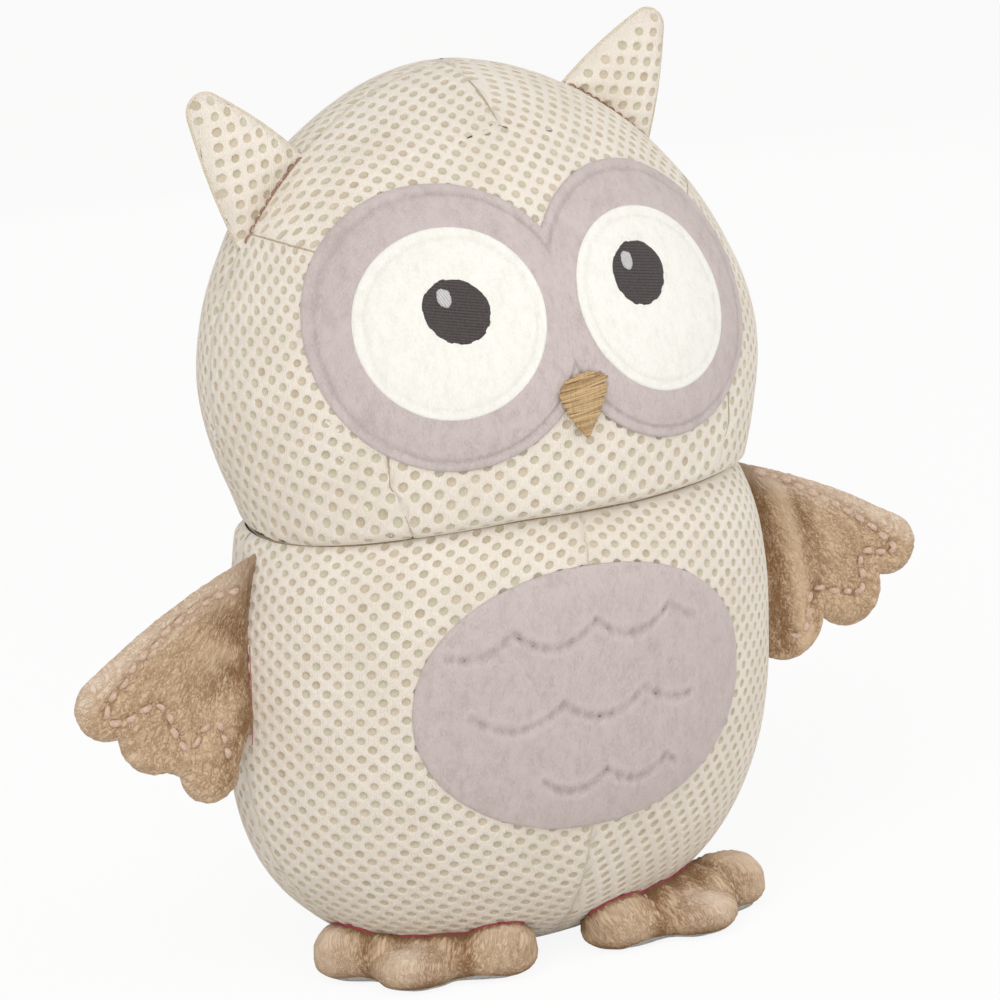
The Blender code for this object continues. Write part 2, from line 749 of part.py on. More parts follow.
def wing_stitches(wing):
    """The running stitch: under the top edge to the tip, then in and out round each feather."""
    start = Vector(wing.outline[WING_STRETCHES[0] - 1])
    tip = Vector(WING_TIP)
    middle = Vector(WING_MIDDLE_FEATHER)
    inner = Vector(WING_INNER_FEATHER)
    along = (tip - start).normalized()
    below = Vector((along.y, -along.x))
    lift_off = WING_HEM - WING_TIP_RADIUS
    knots = [
        start + along * (2 * WING_HEM) + below * WING_HEM,
        tip + below * lift_off,
        tip.lerp(middle, 0.5) + (tip - inner).normalized() * (WING_HEM / 2),
        middle + Vector((0, WING_STITCH_INSET - WING_HEM / 2)),
        middle.lerp(inner, 0.45) + Vector((0, WING_HEM / 2)),
        inner + Vector((0, WING_HEM)),
        inner + Vector((-WING_HEM / 2, 0)),
    ]
    places = []
    for first, second in zip(knots, knots[1:]):
        steps = max(1, round((second - first).length / WING_HEM))
        places += [first.lerp(second, i / steps) for i in range(steps)]
    places.append(knots[-1])
    points = []
    for place in places:
        share = inside_share(wing.outline, wing.middle, place)
        rise = wing.rise(place, share) + GAP + THREAD_RADIUS
        points.append(Vector((place.x, wing.plane - rise, place.y)))
    return points


def mirror(nodes, side):
    """Turns pieces made for the left side over to the right."""
    if side > 0:
        return
    for node in nodes:
        if node.type == "MESH":
            node.data.transform(Matrix.Scale(-1, 4, (1, 0, 0)))
            node.data.flip_normals()
        else:
            for knot in node.data.splines[0].points:
                knot.co.x = -knot.co.x


def ear_outline(angle, plane):
    """The left ear from the front, its root on the head's skin."""
    to_root, to_outer, to_tip, to_inner = EAR_STRETCHES
    out = Vector((math.sin(angle), math.cos(angle)))
    along = Vector((-out.y, out.x))
    centre = Vector((0, HEAD_MID))
    surface = head_reach(centre, out, plane)

    def on_head(shift):
        ray = (centre + out * surface + along * shift - centre).normalized()
        return centre + ray * (head_reach(centre, ray, plane) + ROOT_GAP)

    shifts = [EAR_ROOT_HALF_WIDTH * (1 - 2 * i / (to_root - 1)) for i in range(to_root)]
    root_line = [on_head(shift) for shift in shifts]
    tip = centre + out * (surface + EAR_HEIGHT - EAR_TIP_RADIUS) + along * EAR_TIP_SHIFT
    outer, inner = root_line[-1], root_line[0]
    outer_touch = tip + EAR_TIP_RADIUS * side_normal(outer, tip, 1)
    inner_touch = tip + EAR_TIP_RADIUS * side_normal(inner, tip, -1)
    start = angle_to(tip, outer_touch)
    end = angle_to(tip, inner_touch)
    if end < start:
        end += math.tau
    round_tip = arc(tip, EAR_TIP_RADIUS, start, end, to_tip)
    points = [tuple(point) for point in root_line]
    points += straight(outer, round_tip[0], to_outer)
    points += round_tip
    points += straight(round_tip[-1], inner, to_inner)
    return points


def side_normal(root, tip, side):
    """The direction from a tip's centre to where the edge from the root touches it."""
    edge = (tip - root).normalized()
    return side * Vector((edge.y, -edge.x))


def head_reach(centre, ray, plane):
    """How far the head's skin lies from its middle along a ray in the upright plane at this y."""
    low, high = 0, HEAD_HALF_WIDTH + HEAD_UPPER
    for _ in range(40):
        reach = (low + high) / 2
        place = centre + ray * reach
        inside = place.y < HEAD_MID + HEAD_UPPER and abs(place.x) < HEAD.side_reach(place.y, plane)
        low, high = (reach, high) if inside else (low, reach)
    return low


def make_ears():
    plane = HEAD.centre(HEAD_MID) + EAR_SET_BACK
    centre = Vector((0, HEAD_MID))
    for name, side in SIDES.items():
        angle = math.radians(EAR_ANGLES[name])
        outline = ear_outline(angle, plane)
        out = Vector((math.sin(angle), math.cos(angle)))
        surface = head_reach(centre, out, plane)
        middle = centre + out * (surface + EAR_HEIGHT * 0.4) + Vector((-out.y, out.x)) * (EAR_TIP_SHIFT * 0.4)

        def from_root(place):
            offset = Vector(place) - centre
            return offset.length - head_reach(centre, offset.normalized(), plane) - ROOT_GAP

        ear = Pillow(outline, tuple(middle), plane, EAR_HALF_THICKNESS, from_root)
        nodes = [
            ear.panel(f"ear_{name}_front_panel", -1, PLUSH_THICKNESS, "mesh_fabric", (0.45, 0.82)),
            ear.panel(f"ear_{name}_back_panel", 1, PLUSH_THICKNESS, "mesh_fabric", (0.45, 0.82)),
            ear.padding(f"ear_{name}_padding", PLUSH_THICKNESS, 0.86, (0.6,)),
        ]
        seam = []
        lift = GAP + THREAD_RADIUS
        for x, z in outline[: EAR_STRETCHES[0]]:
            y = plane - RIM_HALF_THICKNESS - GAP - THREAD_RADIUS
            reach = Vector((x, z)) - centre
            ray = reach.normalized()
            place = centre + ray * (head_reach(centre, ray, y) + lift)
            seam.append(Vector((place.x, y, place.y)))
        root_thread = thread(f"ear_{name}_seam_thread", seam, "seam_thread")
        mirror(nodes + [root_thread], side)
        root = centre + out * (surface + ROOT_GAP + RIM_HALF_THICKNESS)
        hinge(f"ear_{name}_hinge", (side * root.x, plane, root.y), nodes)


def foot_height(share):
    """The height of the foot's top at a share of the way out to its edge."""
    return FOOT_HEIGHT * (1 - share**FOOT_FULLNESS) ** (1 / FOOT_FULLNESS)


def make_feet():
    """Feet that lie flat ahead of the body, with three toes each, cut by the body's form."""
    clearance = helper(body_solid("body_clearance", -GAP, None))
    circles = [*zip(TOE_CENTRES, TOE_RADII), (HEEL_CENTRE, HEEL_RADIUS)]
    circles += [(web, WEB_RADIUS) for web in WEB_CENTRES]
    middle = FOOT_CREST
    outline = lobes(middle, circles, FOOT_POINTS)
    for name, side in SIDES.items():
        turn = math.radians(FOOT_TURNS[name])
        ahead = Vector((math.sin(turn), -math.cos(turn)))
        beside = Vector((math.cos(turn), math.sin(turn)))
        root = Vector(FOOT_PLACES[name])

        def spot(place, height):
            flat = root + ahead * place[0] + beside * place[1]
            return Vector((flat.x, flat.y, height))

        def ring(share, height, shrink=0.0):
            size = share * (1 - shrink)
            return [
                spot((middle[0] + size * (u - middle[0]), middle[1] + size * (v - middle[1])), height)
                for u, v in outline
            ]

        lip = SOLE_THICKNESS + GAP
        lowest = lip + 2 * PLUSH_THICKNESS
        tops = [(share, max(lowest, foot_height(share))) for share in FOOT_RING_SHARES]
        outer = [ring(1, lip)] + [ring(share, height) for share, height in tops]
        wall = PLUSH_THICKNESS / TOE_RADII[0]
        inner = [ring(share, height - PLUSH_THICKNESS, wall) for share, height in reversed(tops)]
        inner += [ring(1, lip, wall)]
        sole = mesh_object(f"foot_{name}_sole", [ring(1, 0), ring(1, SOLE_THICKNESS)], "brown_plush")
        upper = dish(f"foot_{name}_upper", outer, spot(middle, FOOT_HEIGHT), inner, spot(middle, FOOT_HEIGHT - PLUSH_THICKNESS))
        inset = wall + 2 * GAP / TOE_RADII[0]
        filling = [ring(1, lip, inset)]
        filling += [ring(share, height - PLUSH_THICKNESS - GAP, inset) for share, height in tops[1:]]
        stuffing = mesh_object(
            f"foot_{name}_stuffing",
            filling,
            "fibre_stuffing",
            last=spot(middle, FOOT_HEIGHT - PLUSH_THICKNESS - GAP),
        )
        boolean(upper, "DIFFERENCE", clearance)
        boolean(stuffing, "DIFFERENCE", clearance)
        seam = foot_seam(root, ahead, beside, middle, outline)
        root_thread = thread(f"foot_{name}_seam_thread", seam, "crimson_thread")
        mirror([sole, upper, stuffing, root_thread], side)
        foremost = root + ahead * max((point.xy - root).dot(ahead) for point in seam)
        place = Vector((side * foremost.x, foremost.y, FOOT_HEIGHT))
        hinge(f"foot_{name}_hinge", place, [sole, upper, stuffing])


def dish(name, outer, outer_top, inner, inner_top):
    """An open shell: an outer skin up to its top, and an inner skin back down, joined at the lip."""
    bm = bmesh.new()
    outer_loops = [[bm.verts.new(point) for point in ring] for ring in outer]
    inner_loops = [[bm.verts.new(point) for point in ring] for ring in inner]
    count = len(outer[0])

    def strip(below, above):
        for i in range(count):
            j = (i + 1) % count
            bm.faces.new((below[i], below[j], above[j], above[i]))

    for loops in (outer_loops, inner_loops):
        for below, above in zip(loops, loops[1:]):
            strip(below, above)
    strip(inner_loops[-1], outer_loops[0])
    for loop, top in ((outer_loops[-1], outer_top), (inner_loops[0], inner_top)):
        peak = bm.verts.new(top)
        for i in range(count):
            bm.faces.new((loop[i], loop[(i + 1) % count], peak))
    bmesh.ops.recalc_face_normals(bm, faces=bm.faces)
    mesh = bpy.data.meshes.new(name)
    bm.to_mesh(mesh)
    bm.free()
    mesh.shade_smooth()
    mesh.set_sharp_from_angle(angle=math.radians(50))
    return add_object(name, mesh, "brown_plush")


def foot_seam(root, ahead, beside, middle, outline):
    """The thread along the line where the foot's top meets the body."""
    count = FOOT_POINTS // 3
    spread = TOE_CENTRES[0][1] - TOE_CENTRES[2][1]
    points = []
    for i in range(count):
        across = TOE_CENTRES[2][1] + spread * i / (count - 1)
        points.append(seam_point(root + beside * across, ahead, middle, outline, across))
    return points


def seam_point(start, ahead, middle, outline, across):
    """The lowest place on the body's front, straight ahead of a point of the root, above the foot's top."""
    clear = GAP + THREAD_RADIUS
    form = BODY.grown(clear)
    steps = int(BODY_FRONT / THREAD_RADIUS)
    lowest = None
    for rise in range(steps, int(FOOT_HEIGHT / 2 / THREAD_RADIUS), -1):
        height = rise * THREAD_RADIUS
        reach = first_reach(form, start, ahead, height, steps)
        if reach is None:
            break
        share = inside_share(outline, middle, (reach, across))
        if height < foot_height(share) + 2 * clear:
            break
        flat = start + ahead * reach
        lowest = Vector((flat.x, flat.y, height))
    return lowest


def first_reach(form, start, ahead, height, steps):
    """How far ahead of a point the form's front lies at this height, if it lies there at all."""
    for step in range(steps, -steps // 4, -1):
        reach = step * THREAD_RADIUS
        flat = start + ahead * reach
        width, depth = form.half_axes(height, flat.y)
        if (flat.x / width) ** 2 + ((flat.y - form.centre(height)) / depth) ** 2 < 1:
            return reach
    return None


def main():
    clear_scene()
    make_materials()
    sew_panels()
    sew_neck()
    make_face()
    make_belly()
    make_ears()
    make_wings()
    make_feet()


main()
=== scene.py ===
"""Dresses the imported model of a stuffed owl: holed fabric, plush, stitching, thread and a small studio.

Lengths are in metres, +Z is up and the owl faces -Y. Left and right are the owl's own, so its left is at +X.
"""

import math
from itertools import product

import bpy
import numpy as np
from bpy.props import FloatProperty, FloatVectorProperty, PointerProperty
from mathutils import Matrix, Vector


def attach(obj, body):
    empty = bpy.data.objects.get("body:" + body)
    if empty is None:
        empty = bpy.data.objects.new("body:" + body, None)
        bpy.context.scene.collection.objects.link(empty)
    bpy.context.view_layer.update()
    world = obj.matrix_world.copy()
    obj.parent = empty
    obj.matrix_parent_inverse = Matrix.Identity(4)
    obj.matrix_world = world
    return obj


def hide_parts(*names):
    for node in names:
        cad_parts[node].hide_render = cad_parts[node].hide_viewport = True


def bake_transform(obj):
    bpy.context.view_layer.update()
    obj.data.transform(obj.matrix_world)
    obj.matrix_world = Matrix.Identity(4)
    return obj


bl_info = {
    "name": "Plush Owl",
    "version": (1, 0, 0),
    "blender": (4, 5, 0),
    "location": "View3D > Sidebar > Plush Owl",
    "description": "Builds the fabric, plush, stitching and studio of a stuffed owl",
    "category": "Object",
}

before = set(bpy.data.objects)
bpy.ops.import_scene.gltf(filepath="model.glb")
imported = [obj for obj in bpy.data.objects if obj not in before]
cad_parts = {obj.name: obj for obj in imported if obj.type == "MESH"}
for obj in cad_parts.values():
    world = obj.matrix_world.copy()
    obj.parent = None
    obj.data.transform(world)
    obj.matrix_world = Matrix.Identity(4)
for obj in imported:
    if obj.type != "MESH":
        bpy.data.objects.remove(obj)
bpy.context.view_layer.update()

MM = 0.001
SIDES = {"left": 1, "right": -1}

# The forms that the fabric lies on
NECK_Z = 0.106
NECK_Y = -0.01802
NECK_TILT = 0.10
NECK_TILT_REACH = 0.030
SEAM_ROUNDING = 0.0021
NECK_PULL = 0.0008
HEAD_SEAM_Y = -0.01324
BODY_SEAM_Y = -0.01108
BASE_SEAM_Z = 0.0042
PROBE = 0.0002
NECK_GAP = 0.12 * MM

# How seams and darts draw the fabric in, and how deep its plain inner face lies
SEAM_DEPTH = 0.7 * MM
SEAM_WIDTH = 1.9 * MM
DART_DEPTH = 0.45 * MM
DART_WIDTH = 1.2 * MM
FABRIC_DEPTH = 0.58 * MM

# How the stuffed head sags over the neck's crease: heights in mm at turns round it in degrees, and where
# the crease bulges out
SAG_TURNS = (-225, -207, -194, -177, -163, -150, -132, -108, -84, -62, -42, -20, 0)
SAG_HEIGHTS = (0.0, 2.8, 2.2, -0.4, -1.6, -2.2, -1.7, -1.3, -1.9, -2.0, -1.4, -0.7, 0.0)
SAG_SOFTENING = 7
SAG_REACH = 0.0068
BULGE = 0.0018
BULGE_TURN = -197
BULGE_WIDTH = 15
FACE_POLE = (0.0, -0.0138, 0.150)

# Face and belly, as places across and up
MASK_OVALS = {"left": (0.0220, 0.1514), "right": (-0.0246, 0.1520)}
MASK_OVAL_HALVES = (0.0302, 0.0274)
MASK_OVAL_TILT = math.radians(60)
EYE_OVALS = {"left": (0.0216, 0.1516), "right": (-0.0250, 0.1531)}
EYE_OVAL_HALVES = (0.0205, 0.0183)
EYE_OVAL_TILT = math.radians(47)
PUPIL_RADIUS = 0.0067
PUPIL_PLACES = {"left": (0.0186, 0.1576), "right": (-0.0241, 0.1557)}
HIGHLIGHT_PLACES = {"left": (0.0161, 0.1604), "right": (-0.0260, 0.1585)}
PATCH_CENTRE = (0.0, 0.0667)
PATCH_HALF = (0.0400, 0.0303)
PATCH_FULLNESS = 2.15
PATCH_TURN = math.radians(-5)
SCALLOPS = {
    "upper": (-0.0330, 0.0250, -0.0004, 0.0188, 0.0802, 0.0048),
    "middle": (-0.0284, 0.0242, -0.0086, 0.0200, 0.0626, 0.0046),
    "lower": (-0.0126, 0.0194, 0.0019, 0.0152, 0.0462, 0.0036),
}
SCALLOP_STITCH = 0.0029

# Darts of the head's front: the upper ones as directions round its pole in degrees, and the lower ones
# as how far out they lie at the heights of their rings
SIDE_DART = 23.5
CHEEK_END = -54.0
LOW_DART_HEIGHTS = (0.106, 0.109, 0.1185, 0.1265, 0.150)
LOW_DART_REACH = (0.0363, 0.0372, 0.0413, 0.0417, 0.0)
LOW_DART_TOP = 0.150
DART_START = math.radians(59)
DART_FULL = math.radians(88)
FACE_WIDEST_TILT = 1.95

MATERIALS = {}


def rgb(red, green, blue):
    """A colour as seen on a screen, from 0 to 255, turned into the values that the nodes use."""
    shares = [channel / 255 for channel in (red, green, blue)]
    return tuple(s / 12.92 if s <= 0.04045 else ((s + 0.055) / 1.055) ** 2.4 for s in shares)


def smooth(value, low, high):
    """0 below low, 1 above high and a soft step between."""
    share = np.clip((value - low) / (high - low), 0, 1)
    return share * share * (3 - 2 * share)


def roll_in(distance, width):
    """The share by which a seam draws the fabric in, at this distance from it."""
    return 1 - np.sqrt(1 - np.clip(1 - distance / width, 0, 1) ** 2)


def soften(values, reach):
    """A running average over this many neighbours on each side."""
    count = 2 * reach + 1
    return np.convolve(np.pad(values, reach, "edge"), np.ones(count) / count, "valid")


def full_turn(count):
    """Evenly spaced turns round a circle."""
    return np.arange(count) * math.tau / count


def rays_at(turns):
    return np.stack((np.cos(turns), np.sin(turns)), 1)


def unit(vectors):
    return vectors / np.maximum(1e-12, np.linalg.norm(vectors, axis=1, keepdims=True))


def lengths_along(path):
    """How far along a path each of its points lies."""
    return np.concatenate(([0], np.cumsum(np.linalg.norm(np.diff(path, axis=0), axis=1))))


def places_at(spots, lengths, path):
    """The places on a path that lie this far along it."""
    return np.stack([np.interp(spots, lengths, path[:, axis]) for axis in range(path.shape[1])], 1)


def rings_between(middle, ring, shares):
    """Rings of flat places, these shares of the way from the middle out to a ring."""
    return (middle + shares[:, None, None] * (ring - middle)).reshape(-1, 2)


def soft_noise(places, size, seed=0):
    """Smooth noise from -1 to 1, with lumps of about this size."""
    cells = np.asarray(places, float) / size + 1000.5
    base = np.floor(cells).astype(np.int64)
    part = cells - base
    part = part * part * (3 - 2 * part)
    total = np.zeros(len(cells))
    for corner in product((0, 1), repeat=3):
        weight = np.prod(np.where(corner, part, 1 - part), axis=1)
        key = (base + corner) @ np.array((73856093, 19349663, 83492791)) + seed * 1013904223
        key = (key ^ (key >> 13)) * 1274126177 & 0xFFFFFFFF
        key = (key ^ (key >> 16)) * 2246822519 & 0xFFFFFFFF
        key = key ^ (key >> 15)
        total += weight * (key / 0x7FFFFFFF - 1)
    return total


def neck_height(y):
    return NECK_Z - NECK_TILT * (y - NECK_Y)


def ring_height(z, y):
    """The height over the centre line of the ring that passes through a place."""
    nominal = z
    for _ in range(5):
        tilt = np.clip(1 - np.abs(nominal - NECK_Z) / NECK_TILT_REACH, 0, 1)
        nominal = z + tilt * NECK_TILT * (y - NECK_Y)
    return nominal


def settle(points):
    """Places near the neck, moved as the stuffed fabric sags over its seam."""
    turn = np.degrees(np.arctan2(points[:, 1] - NECK_Y, points[:, 0]))
    turn = np.where(turn > 135, turn - 360, turn)
    near = np.exp(-(((points[:, 2] - neck_height(points[:, 1])) / SAG_REACH) ** 2))
    turns = np.arange(SAG_TURNS[0], SAG_TURNS[-1] + 1)
    heights = soften(np.interp(turns, SAG_TURNS, SAG_HEIGHTS), SAG_SOFTENING)
    out = near * BULGE * np.exp(-(((turn - BULGE_TURN) / BULGE_WIDTH) ** 2))
    moved = points.copy()
    moved[:, 0] += out * np.cos(np.radians(turn))
    moved[:, 1] += out * np.sin(np.radians(turn))
    moved[:, 2] += near * np.interp(turn, turns, heights) * MM
    return moved


class Form:
    """A stuffed form: ovals along a centre line that leans, drawn in at the neck seam."""

    def __init__(self, mid, upper, lower, half_width, front, back, fullness, lean):
        self.mid, self.upper, self.lower = mid, upper, lower
        self.half_width, self.front, self.back = half_width, front, back
        self.fullness, self.lean = fullness, lean
        self.turns = np.linspace(-1.5 * math.pi, 1.5 * math.pi, 1081)
        depth = np.where(np.sin(self.turns) < 0, front, back)
        pace = np.hypot(half_width * np.sin(self.turns), depth * np.cos(self.turns))
        steps = (pace[1:] + pace[:-1]) / 2 * np.diff(self.turns)
        self.around = np.concatenate(([0], np.cumsum(steps)))
        self.girth = self.around[-1] / 1.5

    def centre(self, z):
        return NECK_Y + self.lean * (z - NECK_Z)

    def full_axes(self, z, y):
        """Half width and depth without the neck's seam."""
        reach = np.where(z > self.mid, self.upper, self.lower)
        share = np.clip(np.abs(z - self.mid) / reach, 0, 1)
        swell = np.maximum(1e-4, (1 - share**self.fullness) ** (1 / self.fullness))
        depth = np.where(y < self.centre(z), self.front, self.back)
        return self.half_width * swell, depth * swell

    def axes(self, z, y):
        width, depth = self.full_axes(z, y)
        pull = roll_in(np.abs(z - neck_height(y)), SEAM_ROUNDING)
        to_width, to_depth = neck_axes(y)
        return width + pull * (to_width - width), depth + pull * (to_depth - depth)

    def level(self, places):
        """Below 0 inside the form, 0 on its skin and above 0 outside."""
        x, y, z = places.T
        width, depth = self.axes(z, y)
        return (x / width) ** 2 + ((y - self.centre(z)) / depth) ** 2 - 1

    def normals(self, places):
        slopes = []
        for axis in range(3):
            step = np.zeros(3)
            step[axis] = PROBE
            slopes.append(self.level(places + step) - self.level(places - step))
        return unit(np.stack(slopes, 1))

    def ring_points(self, nominal, angle):
        """The skin at an angle of the ring that has this height over the centre line."""
        tilt = np.clip(1 - np.abs(nominal - NECK_Z) / NECK_TILT_REACH, 0, 1)
        side = np.sin(angle)
        y = self.centre(nominal) + side * PROBE
        height = nominal
        for _ in range(8):
            width, depth = self.axes(height, y)
            y = self.centre(height) + side * depth
            height = nominal - tilt * NECK_TILT * (y - NECK_Y)
        return np.stack((width * np.cos(angle), y, height), 1)

    def front_points(self, x, z):
        """The skin straight ahead of places across and up."""
        y = self.centre(z) - PROBE
        for _ in range(4):
            width, depth = self.axes(z, y)
            y = self.centre(z) - depth * np.sqrt(np.clip(1 - (x / width) ** 2, 0, 1))
        return np.stack((x, y, z), 1)

    def side_reach(self, z, y):
        """How far out the skin lies at a height, in the upright plane at this y."""
        width, depth = self.axes(z, y)
        return width * np.sqrt(np.clip(1 - ((y - self.centre(z)) / depth) ** 2, 0, 1))

    def underside(self, x, y):
        """The height of the form's lower skin over places on the ground, or its middle height outside it."""
        low, high = np.zeros_like(x), np.full_like(x, self.mid)
        for _ in range(24):
            middle = (low + high) / 2
            inside = self.level(np.stack((x, y, middle), 1)) < 0
            low, high = np.where(inside, low, middle), np.where(inside, middle, high)
        return high

    def lumps(self, places):
        """The small swells that the filling gives the fabric."""
        return 0.35 * MM * soft_noise(places, 0.021, 3) + 0.12 * MM * soft_noise(places, 0.009, 4)

    def skin(self, places, lift=0.0):
        """Places on the form, moved onto the lumpy skin and off it by a lift."""
        normals = self.normals(places)
        return settle(places + normals * (self.lumps(places) + lift)[:, None]), normals


HEAD = Form(0.1369, 0.0667, 0.0752, 0.0649, 0.0515, 0.0520, 1.8, 0.09)
BODY = Form(0.0652, 0.0677, 0.0657, 0.0651, 0.0488, 0.0498, 2.6, -0.17)


def neck_axes(y):
    """The neck seam's half width and depth, ahead or behind."""
    height = neck_height(y)
    head_width, head_depth = HEAD.full_axes(height, y)
    body_width, body_depth = BODY.full_axes(height, y)
    return np.minimum(head_width, body_width) - NECK_PULL, np.minimum(head_depth, body_depth) - NECK_PULL


# Meshes


def settings():
    return bpy.context.scene.plush_owl


def make_mesh(name, points, faces, finish, attributes=None):
    """A smooth mesh object with values on its points and one material."""
    mesh = bpy.data.meshes.new(name)
    mesh.from_pydata(np.asarray(points).tolist(), [], faces)
    mesh.validate()
    mesh.update()
    for key, values in (attributes or {}).items():
        layer = mesh.attributes.new(key, "FLOAT", "POINT")
        layer.data.foreach_set("value", np.asarray(values, np.float32))
    mesh.shade_smooth()
    mesh.materials.append(MATERIALS[finish])
    obj = bpy.data.objects.new(name, mesh)
    bpy.context.scene.collection.objects.link(obj)
    return obj


def dress(obj, node, body="torso"):
    """Hides the node that a piece stands for and attaches the piece to the body that carries it."""
    if node:
        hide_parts(node)
    if body:
        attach(obj, body)


def strip_faces(rows, columns):
    """Quads between closed rows of points, each row this many points long."""
    row = np.arange(rows - 1)[:, None] * columns
    column = np.arange(columns)[None, :]
    after = (column + 1) % columns
    quads = np.stack((row + column, row + after, row + columns + after, row + columns + column), 2)
    return quads.reshape(-1, 4).tolist()


def flipped(faces):
    return [face[::-1] for face in faces]


def fan_faces(first, count, tip):
    return [(first + i, first + (i + 1) % count, tip) for i in range(count)]


def dome_faces(rows, columns):
    """Rows of points that start round a tip, which is the point after them."""
    return strip_faces(rows, columns) + flipped(fan_faces(0, columns, rows * columns))


def pod_faces(rows, columns):
    """Rows of points between two tips, which are the points after them."""
    return dome_faces(rows, columns) + fan_faces((rows - 1) * columns, columns, rows * columns + 1)


def tube(points, radius, sides=6, closed=False, squeeze=1.0, up=(0.0, -0.2, 1.0)):
    """Points and faces of a round thread along a path. Squeeze flattens it along its up direction."""
    path = np.asarray(points, float)
    if closed:
        along = np.roll(path, -1, 0) - np.roll(path, 1, 0)
    else:
        along = np.gradient(path, axis=0)
    along = unit(along)
    across = unit(np.cross(along, np.broadcast_to(np.asarray(up, float), path.shape)))
    rise = np.cross(across, along)
    radii = np.broadcast_to(np.asarray(radius, float), (len(path),))
    turns = full_turn(sides)
    rings = (
        path[:, None, :]
        + across[:, None, :] * (radii[:, None] * np.cos(turns))[:, :, None]
        + rise[:, None, :] * (radii[:, None] * np.sin(turns) * squeeze)[:, :, None]
    )
    count = len(path)
    faces = strip_faces(count, sides)
    if closed:
        last = (count - 1) * sides
        faces += [(last + i, last + (i + 1) % sides, (i + 1) % sides, i) for i in range(sides)]
    else:
        faces += [tuple(range(sides))[::-1], tuple(range((count - 1) * sides, count * sides))]
    return rings.reshape(-1, 3), faces


def join(parts):
    """One list of points and faces from several."""
    points, faces, start = [], [], 0
    for some_points, some_faces in parts:
        points.append(some_points)
        faces += [tuple(int(i) + start for i in face) for face in some_faces]
        start += len(some_points)
    return np.concatenate(points), faces


def resample(path, step, closed=False):
    """Points at an even spacing along a path."""
    path = np.asarray(path, float)
    if closed:
        path = np.concatenate((path, path[:1]))
    lengths = lengths_along(path)
    count = max(2, round(lengths[-1] / step) + 1)
    spots = np.linspace(0, lengths[-1], count)
    if closed:
        spots = spots[:-1]
    return places_at(spots, lengths, path)


def stitch_row(path, normals, length, gap, radius, sink, height, seed, squeeze=0.8, vary=0.1):
    """Separate short stitches along a path, each arched with its ends sunk in the fabric."""
    lengths = lengths_along(path)
    chance = np.random.default_rng(seed)
    parts, start = [], 0.0
    while start + length * 0.6 < lengths[-1]:
        stretch = length * chance.uniform(1 - vary, 1 + vary)
        spots = np.linspace(start, min(start + stretch, lengths[-1]), 7)
        places = places_at(spots, lengths, path)
        ups = places_at(spots, lengths, normals)
        share = np.linspace(0, 1, 7)
        arch = np.sin(math.pi * share)
        places = places + ups * (arch**0.6 * height - (1 - arch) * sink)[:, None]
        sway = unit(np.cross(np.gradient(places, axis=0), ups))
        places += sway * (chance.uniform(-2.5, 2.5) * vary * radius)
        thick = radius * chance.uniform(1 - vary, 1 + vary)
        parts.append(tube(places, thick * (0.62 + 0.38 * arch), 8, squeeze=squeeze, up=ups))
        start += stretch + gap
    return join(parts)


# Fabric with round holes


